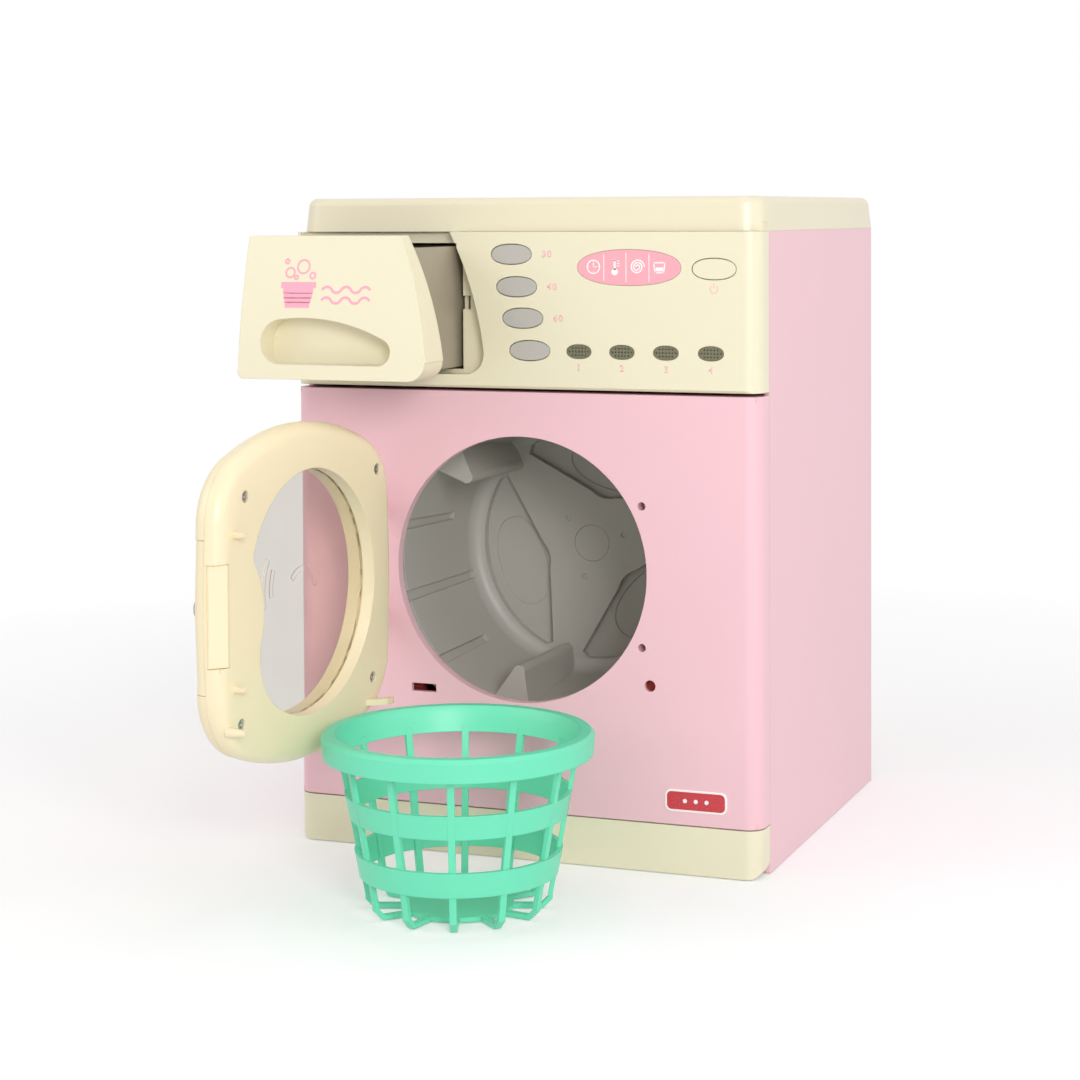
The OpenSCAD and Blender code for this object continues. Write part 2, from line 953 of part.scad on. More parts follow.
module speaker() {
    y0 = by - wall - 8;
    color([0.12, 0.12, 0.13])
        difference() {
            union() {
                about_y(speaker_x, y0, speaker_z)
                    difference() {
                        polygon([[0, 0], [8, 0], [8, 3], [speaker_r, 6.5], [speaker_r, 8],
                            [speaker_r - 3, 8], [speaker_r - 4, 7], [6, 5], [0, 6.5]]);
                        translate([14.5, 5])
                            square([0.6, 0.6], center = true);
                    }
                rod_y(speaker_x, y0 - 5, speaker_z, 9, 5.1);
            }
            rod_y(speaker_x, y0 - 6, speaker_z, 3, 2);
        }
}

module door_switch() {
    flange_d = 2.8;
    color([0.62, 0.12, 0.10])
        difference() {
            union() {
                translate([slot_x - 20, back_of_front, slot_z - 5.2])
                    cube([28, flange_d, 10.4]);
                translate([slot_x - 20, back_of_front + flange_d - 0.1, slot_z - 4.8])
                    cube([15, 10, 9.4]);
            }
            translate([slot_x - 16.5, back_of_front - over, slot_z - 2.2])
                cube([23.3, 8.6, 4.4]);
        }
}

module peg_socket() {
    color([0.67, 0.28, 0.26])
        difference() {
            rod_y(key_x, back_of_front, key_z, 6, 13);
            rod_y(key_x, back_of_front - over, key_z, 3, 6);
        }
}

module hinge_pins() {
    half = lug_h / 2 + lug_fit + barrel_h;
    color(steel)
        for (z = notch_z)
            translate([-hinge_x, fy - hinge_y, z - half + 0.2])
                cylinder(r = pin_r, h = 2 * half - 0.4);
}

module rubber_feet() {
    color([0.2, 0.2, 0.2])
        for (sx = [-1, 1], sy = [-1, 1])
            translate([sx * (foot_x - 6), sy * foot_y, 0]) {
                cylinder(r = foot_r, h = tray_lo);
            }
}

module case_screws() {
    color(steel)
        for (sx = [-1, 1], sy = [-1, 1])
            translate([sx * case_screw_x, sy * case_screw_y, 0]) {
                difference() {
                    translate([0, 0, 0.6])
                        cylinder(r = screw_head, h = tray_lo - 0.6);
                    translate([0, 0, 0.8])
                        cube([3, 0.6, 1.2], center = true);
                    translate([0, 0, 0.8])
                        cube([0.6, 3, 1.2], center = true);
                }
                translate([0, 0, tray_lo - 0.1])
                    cylinder(r = screw_r - screw_fit, h = 15);
            }
}

door_az = door_hh - door_rt;
door_bx = door_hw - door_rs;
door_d = sqrt(door_az * door_az + door_bx * door_bx);
door_e = [door_bx / door_d, -door_az / door_d];
door_p1 = door_rt - door_rc;
door_p2 = door_rs - door_rc;
door_f = (door_p1 * door_p1 - door_p2 * door_p2 + door_d * door_d) / (2 * door_d);
door_g = sqrt(door_p1 * door_p1 - door_f * door_f);
door_cx = door_f * door_e[0] + door_g * door_e[1];
door_cz = door_az + door_f * door_e[1] - door_g * door_e[0];
door_at = atan2(door_cx, door_cz - door_az);
door_as = atan2(door_cz, door_cx - door_bx);
door_wall = 2;
pane_t0 = 6;
pane_t = 2;
handle_z0 = 98;
handle_z1 = 160.8;
handle_x = 58;
cover_z0 = 109;
cover_z1 = 151;
cover_x0 = 61.9;
cover_x1 = 69.2;
rel_x = 62.8;
rel_z = 132;
rel_a = 2.2;
rel_b = 3.2;
door_screw_at = [[49.5, 176.9], [-55.6, 178], [-50.8, 85.4], [53.7, 84.1]];

// turns a piece drawn with the door shut into the position shown
module door_pose() {
    translate([-hinge_x, fy - hinge_y, 0])
        rotate([0, 0, -door_open])
            translate([hinge_x, hinge_y - fy, 0])
                children();
}

// a slab of an x-z outline lying t0 out from the inner face of the shut door
module door_slab(t0, t) {
    translate([0, fy - door_gap - t0, 0])
        rotate([90, 0, 0])
            linear_extrude(t)
                children();
}

module door_rod(x, z, t0, t, r1, r2) {
    translate([x, fy - door_gap - t0, z])
        rotate([90, 0, 0])
            cylinder(r1 = r1, r2 = r2, h = t);
}

module door_box(x0, x1, z0, z1, t0, t1) {
    translate([x0, fy - door_gap - t1, z0])
        cube([x1 - x0, t1 - t0, z1 - z0]);
}

// door outline drawn in by g
module door_2d(g = 0) {
    tx = door_rt * sin(door_at);
    tz = door_rs * sin(door_as);
    translate([0, drum_z]) {
        for (sx = [-1, 1], sz = [-1, 1])
            translate([sx * door_cx, sz * door_cz])
                circle(door_rc - g);
        intersection() {
            translate([0, door_az])
                circle(door_rt - g);
            translate([0, -door_az])
                circle(door_rt - g);
            translate([door_bx, 0])
                circle(door_rs - g);
            translate([-door_bx, 0])
                circle(door_rs - g);
            union() {
                square([2 * tx * (door_rt - g) / door_rt, 2 * door_hh], center = true);
                square([2 * door_hw, 2 * tz * (door_rs - g) / door_rs], center = true);
            }
        }
    }
}

// disc of radius r0 and height h, its lower edge eased by r in even steps of a quarter turn
module round_disc(r0, r, h) {
    steps = 5;
    rotate_extrude()
        polygon(concat([[0, 0]],
            [for (i = [0:steps]) [r0 - r + r * sin(90 * i / steps), r - r * cos(90 * i / steps)]],
            [[r0, h], [0, h]]));
}

// the door outline drawn in by g as a solid from t0 to t1, the edge at t0 rounded by r
module door_solid(g, r, t0, t1) {
    h = abs(t1 - t0);
    bury = 0.12;
    tx = door_rt * sin(door_at);
    tz = door_rs * sin(door_as);
    translate([0, fy - door_gap - t0, drum_z])
        rotate([90, 0, 0])
            mirror([0, 0, t1 > t0 ? 0 : 1]) {
                intersection() {
                    translate([0, door_az, 0])
                        round_disc(door_rt - g, r, h);
                    translate([0, -door_az, 0])
                        round_disc(door_rt - g, r, h);
                    translate([-tx, -door_hh, -over])
                        cube([2 * tx, 2 * door_hh, h + 2 * over]);
                }
                intersection() {
                    translate([door_bx, 0, 0])
                        round_disc(door_rs - g, r, h);
                    translate([-door_bx, 0, 0])
                        round_disc(door_rs - g, r, h);
                    translate([-door_hw, -tz, -over])
                        cube([2 * door_hw, 2 * tz, h + 2 * over]);
                }
                for (sx = [-1, 1], sz = [-1, 1])
                    translate([sx * door_cx, sz * door_cz, 0])
                        round_disc(door_rc + bury - g, r, h);
            }
}

// window outline grown by g; the free side bulges in over the catch
module window_2d(g = 0) {
    low = [14, drum_z - 22.7];
    bulge = [68.9, drum_z - 3.1];
    tip = [39, drum_z + 19.9];
    top = [-0.9, drum_z + 4.9];
    polygon(concat(
        arc_points([0, drum_z], window_r + g, 100, 301.6, 56),
        arc_points(low, 25.8 + g, -58.4, 19.7, 16),
        arc_points(bulge, 32.5 - g, 199.7, 142.5, 16),
        arc_points(tip, 4.95 + g, -37.5, 20.6, 8),
        arc_points(top, 47.5 + g, 20.6, 100, 20)));
}

// room for the hinge arms in the door edge
module hinge_room() {
    half = lug_h / 2 + lug_fit;
    for (z = notch_z)
        door_box(-80, -hinge_x + knuckle_r + lug_fit, z - half, z + half, -5, 25);
}

module door_inner_shell() {
    color(cream)
        door_pose()
            difference() {
                union() {
                    difference() {
                        door_solid(0, door_ri, 0, door_split);
                        door_solid(door_wall, door_ri - door_wall, door_wall, door_split + over);
                    }
                    door_slab(0, pane_t0)
                        difference() {
                            window_2d(door_wall);
                            window_2d();
                        }
                    for (p = door_screw_at)
                        door_rod(p[0], p[1], 0, 4, 3.6, 3.6);
                    for (z = peg_z)
                        door_rod(peg_x, z, -5.4, 6.9, 1.2, 1.66);
                    door_rod(key_x, key_z, -7.3, 8.8, 1.2, 2.35);
                    blade();
                    for (z = notch_z)
                        door_box(-hinge_x + knuckle_r + lug_fit - 0.1, -64, z - 5, z + 5, 1, door_split);
                    door_box(cover_x0 - 1.2, cover_x1 - 1.8, cover_z0 - 1.5, cover_z1 + 1.5, 1, door_split);
                    for (a = [35, 62, 90, 118, 145, 215, 242, 270, 298, 325])
                        ring_rib(a, 1.8, door_split - 1.8);
                }
                door_slab(-over, door_split + 2 * over)
                    window_2d();
                hinge_room();
                door_box(cover_x0, 72, cover_z0, cover_z1, -1, 5.9);
                for (p = door_screw_at) {
                    door_rod(p[0], p[1], -1, 3, 2.5, 2.5);
                    door_rod(p[0], p[1], 1, 5, 1.6, 1.6);
                }
            }
}

// a short rib between window and rim at angle a
module ring_rib(a, t0, t) {
    intersection() {
        translate([0, fy - door_gap - t0 - t, drum_z])
            rotate([0, -a, 0])
                translate([window_r + 1.9, 0, -0.8])
                    cube([40, t, 1.6]);
        door_slab(t0, t)
            door_2d(1.9);
    }
}

// curved tongue that swings into the slot of the front
module blade() {
    r_mid = norm([hinge_x + slot_x, hinge_y + wall / 2]);
    intersection() {
        translate([-hinge_x, fy - hinge_y, slot_z - 1.4])
            rotate([0, 0, 20])
                rotate_extrude(angle = 70)
                    translate([r_mid - 1.6, 0])
                        square([3.2, 2.8]);
        door_box(-hinge_x + 6, 0, slot_z - 5, slot_z + 5, -7.5, 1.5);
    }
}

module door_outer_shell() {
    color(cream)
        door_pose()
            difference() {
                union() {
                    door_outer_skin();
                    door_slab(pane_t0 + pane_t, door_t - pane_t0 - pane_t)
                        difference() {
                            window_2d(door_wall);
                            window_2d();
                        }
                    for (p = door_screw_at)
                        door_rod(p[0], p[1], 4, door_t - 5, 3.6, 3.6);
                    for (z = notch_z, s = [-1, 1])
                        door_barrel(z + s * (lug_h / 2 + lug_fit + barrel_h / 2));
                    for (z = notch_z)
                        door_box(-hinge_x + knuckle_r + lug_fit - 0.1, -63.6, z - 5.5, z + 5.5,
                            door_split, door_t - 1);
                    for (a = [62, 90, 118, 145, 215, 242, 270, 298])
                        ring_rib(a, door_split, door_t - door_split - 1);
                }
                hinge_room();
                for (z = notch_z)
                    translate([-hinge_x, fy - hinge_y, z - 12])
                        cylinder(r = pin_r + pin_fit, h = 24);
                for (p = door_screw_at)
                    door_rod(p[0], p[1], 3, 8.5, screw_r, screw_r);
                door_box(handle_x - 0.15, 75, handle_z0 - 0.15, handle_z1 + 0.15, door_split - 1, 20);
            }
}

module door_outer_skin() {
    difference() {
        door_solid(0, door_ro, door_t, door_split);
        door_solid(door_wall, door_ro - door_wall, door_t - door_wall, door_split - over);
        door_slab(door_split - over, door_t)
            window_2d();
    }
}

module door_barrel(z) {
    translate([-hinge_x, fy - hinge_y, z - barrel_h / 2])
        cylinder(r = knuckle_r, h = barrel_h);
    door_box(-hinge_x, -63, z - barrel_h / 2, z + barrel_h / 2, door_t - 3.5, door_t - 0.5);
}

module door_window() {
    color([0.85, 0.87, 0.88, 0.35])
        door_pose() {
            door_slab(pane_t0, pane_t)
                window_2d(1.7);
            for (p = [[3, 134, 24, -16, 48], [3, 134, 18, -8, 34], [-2, 130, 9, 40, 130]])
                translate([p[0], fy - door_gap - pane_t0 + 0.8, p[1]])
                    rotate([90, 0, 0])
                        rotate([0, 0, p[3]])
                            rotate_extrude(angle = p[4])
                                translate([p[2], 0.4])
                                    square([2.6, 0.6]);
        }
}

module door_handle() {
    color(cream)
        door_pose()
            difference() {
                union() {
                    intersection() {
                        union() {
                            door_outer_skin();
                            intersection() {
                                door_solid(0.5, door_ro - 0.5, door_t - 0.5, door_split);
                                for (z = [handle_z0 + 0.3, handle_z1 - 0.3])
                                    door_box(handle_x - 2, 80, z - 1.3, z + 1.3, door_split - 1, door_t);
                            }
                        }
                        door_box(handle_x, 75, handle_z0, handle_z1, door_split, 20);
                    }
                    door_slab(door_split, door_t - door_split - 1.6)
                        translate([rel_x, rel_z])
                            oval(rel_a + 1.5, rel_b + 1.5);
                }
                door_slab(door_split + 2, 10)
                    translate([rel_x, rel_z])
                        oval(rel_a + 0.3, rel_b + 0.3);
                door_rod(rel_x, rel_z, door_split - 1, 3, 1.2, 1.2);
            }
}

module door_catch_cover() {
    y0 = fy - door_gap;
    color(cream)
        door_pose()
            difference() {
                translate([0, y0, cover_z0 + 0.15])
                    linear_extrude(cover_z1 - cover_z0 - 0.3)
                        polygon([[cover_x0 + 0.1, 0], [cover_x0 + 0.1, -5.9], [cover_x1, -5.9],
                            [cover_x1, -4.9], [63.2, 0]]);
                translate([0, y0, cover_z0 + 2])
                    linear_extrude(cover_z1 - cover_z0 - 4)
                        polygon([[cover_x0 + 1.6, -2.3], [cover_x0 + 1.6, -7], [67.4, -7], [67.4, -5.5]]);
            }
}

module door_screws() {
    color(steel)
        door_pose()
            for (p = door_screw_at)
                difference() {
                    union() {
                        door_rod(p[0], p[1], 0.7, 1.3, 2.4, 2.4);
                        door_rod(p[0], p[1], 1.9, 8.6, screw_r - screw_fit, screw_r - screw_fit);
                    }
                    translate([p[0], fy - door_gap, p[1]]) {
                        cube([3, 2.4, 0.6], center = true);
                        cube([0.6, 2.4, 3], center = true);
                    }
                }
}

module release_button() {
    color(button_grey)
        door_pose() {
            door_slab(10.5, door_t - 10.5 + 1.3)
                translate([rel_x, rel_z])
                    oval(rel_a, rel_b);
            door_rod(rel_x, rel_z, 8.5, 2.1, 0.9, 0.9);
        }
}

// outline of the finger scoop grown by g
module scoop_2d(g = 0) {
    p = [-87.6, 236.1];
    q = [-40.6, 232.1];
    rp = 9.8 + g;
    rq = 5.9 + g;
    brow_r = 90 + g;
    d = norm(q - p);
    e = (q - p) / d;
    a = atan2(e[1], e[0]);
    b = acos((rp - rq) / d);
    u = (pow(brow_r - rp, 2) - pow(brow_r - rq, 2) + d * d) / (2 * d);
    c = p + u * e - sqrt(pow(brow_r - rp, 2) - u * u) * [-e[1], e[0]];
    ap = atan2(p[1] - c[1], p[0] - c[0]);
    aq = atan2(q[1] - c[1], q[0] - c[0]);
    polygon(concat(
        arc_points(p, rp, a - b, ap - 360, 24),
        arc_points(c, brow_r, ap, aq, 14),
        arc_points(q, rq, aq, a - b, 18),
        [q + rq * [cos(a - b), sin(a - b)]]));
}

// drawer pieces are drawn shut and moved out together
module drawer_pose() {
    translate([0, -drawer_out, 0])
        children();
}

// the bowed front volume of the drawer, its face drawn in by g
module face_bow(g = 0) {
    steps = 12;
    top = [fy + recess - 0.4 - 7.5, 282];
    low = [fy + recess - 0.4 - 20, 220];
    mid = (top + low) / 2;
    half = norm(top - low) / 2;
    n = [top[1] - low[1], low[0] - top[0]] / (2 * half);
    c = mid + n * sqrt(face_lean * face_lean - half * half);
    a = asin((half + 3) / face_lean);
    lean = atan2(-n[1], -n[0]);
    rotate([90, 0, 90])
        linear_extrude(400, center = true)
            polygon(concat([for (i = [-steps:2:steps])
                c + (face_lean - g) * [cos(lean + a * i / steps), sin(lean + a * i / steps)]],
                [[fy + 20, 210], [fy + 20, 290]]));
}

module drawer_front() {
    rear = recess - 0.4;
    top = 282.4;
    t = 2.2;
    color(cream)
        drawer_pose() {
            difference() {
                intersection() {
                    front_slab(rear - 24, 24)
                        recess_2d(drawer_gap, top);
                    face_bow();
                }
                difference() {
                    intersection() {
                        front_slab(rear - 24, 25)
                            recess_2d(drawer_gap + t, top - t);
                        face_bow(t);
                    }
                    front_slab(rear - 30, 31)
                        scoop_2d(t);
                    for (x = [-100, -68, -36])
                        translate([x, fy - 30, 200])
                            cube([1.8, 60, 100]);
                    for (z = [252, 268])
                        translate([-110, fy - 30, z])
                            cube([100, 60, 1.8]);
                    for (p = [[-92, 262], [-46, 262]])
                        rod_y(p[0], fy - 30, p[1], 3.2, 60);
                }
                scoop_cut();
                scoop_under();
                for (p = [[-92, 262], [-46, 262]])
                    rod_y(p[0], fy + rear - 8, p[1], screw_r, 9);
            }
        }
}

// axis of the curved floor of the scoop
module scoop_roll(r) {
    translate([0, fy - 13, 241])
        rotate([0, 90, 0])
            cylinder(r = r, h = 400, center = true);
}

// the hollow of the scoop, deepest under its upper edge
module scoop_cut() {
    intersection() {
        front_slab(recess - 0.4 - 30, 28)
            scoop_2d();
        scoop_roll(15.2);
    }
}

// the room behind the curved floor
module scoop_under() {
    intersection() {
        front_slab(recess - 0.4 - 20, 21)
            scoop_2d(-1.8);
        rotate([90, 0, 90])
            linear_extrude(400, center = true)
                polygon([[fy - 1.2, 220], [fy - 1.2, 228.5], [fy + 2.8, 234], [fy + 4.3, 239.5],
                    [fy + 12, 239.5], [fy + 12, 220]]);
    }
}

module drawer_box() {
    y0 = fy + recess - 0.4;
    w = box_x1 - box_x0;
    h = box_z1 - box_z0;
    t = box_t;
    color(taupe)
        drawer_pose()
            difference() {
                union() {
                    difference() {
                        translate([box_x0, y0, box_z0])
                            cube([w, drawer_len, h]);
                        translate([box_x0 + t, y0 + t, box_z0 + t])
                            cube([w - 2 * t, drawer_len - 2 * t, h]);
                    }
                    translate([box_x0 + 0.6 * w, y0 + t - 0.1, box_z0 + t - 0.1])
                        cube([t, drawer_len - 2 * t + 0.2, h - 12]);
                    translate([box_x0 + t - 0.1, y0 + 44, box_z0 + t - 0.1])
                        cube([0.6 * w, t, h - 20]);
                }
                for (p = [[-92, 262], [-46, 262]])
                    rod_y(p[0], y0 - over, p[1], screw_r + 0.15, 5);
            }
}

module drawer_screws() {
    y0 = fy + recess - 0.4;
    color(steel)
        drawer_pose()
            for (p = [[-92, 262], [-46, 262]])
                difference() {
                    union() {
                        rod_y(p[0], y0 - 7, p[1], screw_r - screw_fit, 7 + box_t);
                        rod_y(p[0], y0 + box_t, p[1], screw_head, 1.4);
                    }
                    cross_slot(p[0], y0 + box_t + 0.8, p[1]);
                }
}

drum_in = drum_r - 2;
step_y = 26;
step_r = 69;
back_r = 63.5;
back_fillet = 7;
recess_y = 98.5;
drum_back = 102;

// inner space of the drum behind its mouth, grown by g
module drum_inside(g = 0) {
    about_y(0, fy, drum_z)
        union() {
            polygon([[0, mouth_y - over], [drum_in + g, mouth_y - over], [drum_in + g, step_y],
                [step_r + g, step_y], [back_r + g, hub_y - back_fillet + g], [0, hub_y - back_fillet + g]]);
            polygon([[0, hub_y - 20], [back_r - back_fillet + g, hub_y - 20],
                [back_r - back_fillet + g, recess_y + g], [0, recess_y + g]]);
            translate([back_r - back_fillet, hub_y - back_fillet])
                circle(back_fillet + g);
        }
}

// cone of the inner wall grown by g, from the step to the back
module wall_cone(g) {
    about_y(0, fy, drum_z)
        polygon([[0, step_y - 0.1], [step_r + g, step_y - 0.1], [back_r + g, hub_y - 2], [0, hub_y - 2]]);
}

module drum_turn(a) {
    translate([0, 0, drum_z])
        rotate([0, -a, 0])
            children();
}

// one paddle: a hollow ridge with a rounded crest
module paddle(g, y0) {
    half = 10.8 + g;
    tip = paddle_tip - g;
    translate([0, fy + recess_y + 1, 0])
        rotate([90, 0, 0])
            linear_extrude(recess_y + 1 - y0)
                union() {
                    polygon([[73, -half], [73, half], [tip + 2.6, 2.9 + g], [tip + 2.6, -2.9 - g]]);
                    translate([tip + 3, 0])
                        circle(3 + g);
                }
}

// v-shaped edge of the hub plate on one bay side, u outward
module bay_2d() {
    polygon([[24.2, -4.5], [24.2, 4.5], [27.1, 16.4], [33.4, 42], [70, 42], [70, -42], [33.4, -42],
        [27.1, -16.4]]);
    intersection() {
        translate([22.9 + 12, 0])
            circle(12);
        translate([0, -8])
            square([30, 16]);
    }
}

module drum_shell() {
    color(grey)
        difference() {
            union() {
                difference() {
                    about_y(0, fy, drum_z)
                        polygon([[0, mouth_y], [drum_r, mouth_y], [drum_r, step_y + 3],
                    [back_r + 3.4, hub_y - 4],
                            [back_r - 4, drum_back], [0, drum_back]]);
                    drum_inside();
                }
                intersection() {
                    about_y(0, fy, drum_z)
                        polygon([[0, mouth_y], [drum_r - 1, mouth_y], [drum_r - 1, step_y],
                            [back_r + 2, hub_y],
                            [back_r - 6, drum_back - 1], [0, drum_back - 1]]);
                    for (k = [0:2])
                        drum_turn(paddle_a + 120 * k)
                            paddle(0, step_y + 4);
                }
                difference() {
                    about_y(0, fy, drum_z)
                        square_ring(0, back_r - 1, hub_y, drum_back - 1);
                    for (k = [0:2])
                        drum_turn(paddle_a + 60 + 120 * k)
                            translate([0, fy + recess_y, 0])
                                rotate([90, 0, 0])
                                    linear_extrude(20)
                                        bay_2d();
                }
                about_y(0, fy, drum_z)
                    square_ring(0, 10, drum_back - 1, gear_y - fy);
            }
            for (k = [0:2])
                drum_turn(paddle_a + 60 + 120 * k)
                    translate([0, fy + recess_y + 0.9, 0])
                        rotate([90, 0, 0])
                            linear_extrude(4)
                                translate([39.5, 0])
                                    rotate(90)
                                        oval(22, 12.5);
            for (k = [0:2])
                drum_turn(paddle_a + 120 * k)
                    translate([0, 3, 0])
                        intersection() {
                            paddle(-2.2, step_y + 5);
                            translate([60, fy + 62, 0])
                                cube([40, 120, 60], center = true);
                        }
            for (k = [0:2], j = [-1:1])
                intersection() {
                    wall_cone(1.4);
                    drum_turn(paddle_a + 60 + 120 * k + 28 * j)
                        translate([0, fy + step_y - 1, 0])
                            rotate([90, 0, 90])
                                translate([0, 0, 50])
                                    linear_extrude(30)
                                        polygon([[0, -2.5], [j == 0 ? 65 : 47, -1.9], [j == 0 ? 65 : 47, 1.9],
                                            [0, 2.5]]);
                }
            rod_y(0, fy + hub_y - over, drum_z, 8.9, over + 1);
            rod_y(0, fy + hub_y - over, drum_z, spindle_r, 30);
            for (a = [0:2])
                drum_turn(paddle_a + 120 * a)
                    translate([17, fy + hub_y - over, 0])
                        rotate([-90, 0, 0])
                            cylinder(r = 1.3, h = over + 0.6);
        }
}

module square_ring(r0, r1, y0, y1) {
    translate([r0, y0])
        square([r1 - r0, y1 - y0]);
}

module hub_cap() {
    color(grey)
        rod_y(0, fy + hub_y + 0.1, drum_z, 8.8, 0.9);
}

module drum_spindle() {
    color(steel)
        difference() {
            rod_y(0, fy + hub_y + 1, drum_z, spindle_r, bulk_y + 16 - fy - hub_y);
            about_y(0, bulk_y + 11, drum_z)
                square_ring(spindle_r - 0.8, spindle_r + 1, 0, 1.2);
        }
}

module spindle_clip() {
    color(steel)
        difference() {
            rod_y(0, bulk_y + 11.1, drum_z, 6.4, 1);
            rod_y(0, bulk_y + 10, drum_z, spindle_r - 0.8, 4);
            translate([0, bulk_y + 11.6, drum_z + 5])
                cube([5.4, 3, 10], center = true);
        }
}

module basket() {
    rim_lo = 65.5;
    rim_in = 50.4;
    t = 2;
    color(mint)
        translate([basket_x, basket_y, 0]) {
            rotate_extrude() {
                polygon([[rim_in, basket_h - t], [rim_in + 1.2, basket_h], [basket_r - 1.6, basket_h],
                    [basket_r, basket_h - 1.6], [basket_r - 0.6, rim_lo], [basket_r - 0.6 - t, rim_lo],
                    [basket_r - 1.2 - t, basket_h - t], [rim_in + t, basket_h - t],
                    [48.4 + t, 64], [48.4, 64]]);
                polygon([[43.7, 40.1], [45.75, 50.2], [45.75 + t, 50.2], [43.7 + t, 40.1]]);
                polygon([[39.9, 15.5], [41.8, 26], [41.8 + t, 26], [39.9 + t, 15.5]]);
                translate([0, 0.2])
                    square([23, t]);
            }
            for (k = [0:basket_ribs - 1])
                rotate([0, 0, basket_a0 + k * 360 / basket_ribs])
                    rotate([90, 0, 0])
                        linear_extrude(3, center = true)
                            union() {
                                polygon([[37.4, 6], [48.9, 67], [50.9, 67], [39.4, 6]]);
                                polygon([[20, 0], [35.4, 0], [39.4, 4], [39.4, 6.2], [37.4, 6.2], [37.4, 4.8],
                                    [34.6, t], [20, t]]);
                            }
        }
}

side_shell();
front_panel();
base_tray();
control_panel();
top_lid();
drawer_tunnel();
icon_badge();
led_windows();
led_board();
leds();
tact_switches();
bearing_plate();
spindle_bush();
motor();
motor_clamp();
battery_box();
battery_cells();
battery_contacts();
battery_door();
battery_screw();
speaker();
door_switch();
peg_socket();
hinge_pins();
rubber_feet();
case_screws();
door_inner_shell();
door_outer_shell();
door_window();
door_handle();
door_catch_cover();
door_screws();
release_button();
drawer_front();
drawer_box();
drawer_screws();
drum_shell();
hub_cap();
drum_spindle();
drum_gear();
spindle_clip();
motor_pinion();
motor_shaft();
function_button_1();
function_button_2();
function_button_3();
function_button_4();
power_button();
basket();
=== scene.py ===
# %% [markdown]
# # A toy washing machine, dressed for its portrait
# The solid parts come from the CAD model. This lesson gives them the moulded plastics, the
# steel and the clear window of the real toy, adds the printed marks, and sets up the studio.

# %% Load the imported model
import math

import bpy
from mathutils import Matrix, Vector
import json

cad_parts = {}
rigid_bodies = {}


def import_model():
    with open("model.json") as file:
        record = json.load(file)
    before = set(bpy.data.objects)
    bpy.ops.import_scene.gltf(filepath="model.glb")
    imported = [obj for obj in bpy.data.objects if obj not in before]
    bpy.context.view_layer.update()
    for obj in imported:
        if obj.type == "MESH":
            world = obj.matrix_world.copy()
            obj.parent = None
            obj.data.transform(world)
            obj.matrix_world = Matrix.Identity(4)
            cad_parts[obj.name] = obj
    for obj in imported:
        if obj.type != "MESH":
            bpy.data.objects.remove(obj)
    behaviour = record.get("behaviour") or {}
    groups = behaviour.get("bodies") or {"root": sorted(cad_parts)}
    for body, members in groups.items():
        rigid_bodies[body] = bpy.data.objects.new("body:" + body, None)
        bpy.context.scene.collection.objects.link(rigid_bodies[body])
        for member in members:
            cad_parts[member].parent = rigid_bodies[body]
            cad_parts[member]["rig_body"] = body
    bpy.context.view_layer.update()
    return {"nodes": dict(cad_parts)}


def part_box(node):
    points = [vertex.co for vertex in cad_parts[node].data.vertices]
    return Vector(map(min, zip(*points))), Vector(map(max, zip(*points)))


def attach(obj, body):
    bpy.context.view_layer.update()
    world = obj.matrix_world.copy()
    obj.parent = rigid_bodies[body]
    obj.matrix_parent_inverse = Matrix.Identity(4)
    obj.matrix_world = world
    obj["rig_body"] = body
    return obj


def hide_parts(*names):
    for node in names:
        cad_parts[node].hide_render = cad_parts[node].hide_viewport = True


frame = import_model()
nodes = frame["nodes"]
MM = 0.001
print("parts from the CAD model:", len(nodes))

# %% [markdown]
# ## The camera first
# The photograph was taken from the right of the toy, about level with its lid, with a long lens.
# The camera stands where the picture's straight edges say it stood. A small shift slides the
# frame sideways and down, since the toy does not stand in the middle of the lens.

# %% Camera
YAW, PITCH, ROLL = (math.radians(a) for a in (20.38, 1.88, -0.25))
STANDPOINT = (0.4052, -1.1115, 0.2919)
PICTURE_PX = 1080
FOCAL_PX = 2418.2
AXIS_PX = (584.0, 292.3)
SENSOR_MM = 36

forward = Vector((-math.sin(YAW) * math.cos(PITCH),
                  math.cos(YAW) * math.cos(PITCH),
                  -math.sin(PITCH)))
level = Vector((math.cos(YAW), math.sin(YAW), 0))
above = level.cross(forward)
right = math.cos(ROLL) * level + math.sin(ROLL) * above
up = -math.sin(ROLL) * level + math.cos(ROLL) * above
camera_data = bpy.data.cameras.new("camera")
camera = bpy.data.objects.new("camera", camera_data)
bpy.context.scene.collection.objects.link(camera)
turn = Matrix((right, up, -forward)).transposed().to_4x4()
camera.matrix_world = Matrix.Translation(STANDPOINT) @ turn
camera_data.sensor_width = SENSOR_MM
camera_data.lens = FOCAL_PX / PICTURE_PX * SENSOR_MM
camera_data.shift_x = (PICTURE_PX / 2 - AXIS_PX[0]) / PICTURE_PX
camera_data.shift_y = (AXIS_PX[1] - PICTURE_PX / 2) / PICTURE_PX
camera_data.clip_end = 50
bpy.context.scene.camera = camera
print("lens", round(camera_data.lens, 1), "mm")

# %% [markdown]
# ## Colours and nodes
# Colours are picked as they look on screen, in hex. The shaders want linear light, so one
# function turns the one into the other. Another adds a node, sets it and links it.

# %% Helpers for materials
def linear(code):
    screen = [int(code[i:i + 2], 16) / 255 for i in (1, 3, 5)]
    light = [c / 12.92 if c <= 0.04045 else ((c + 0.055) / 1.055) ** 2.4 for c in screen]
    return tuple(light) + (1.0,)


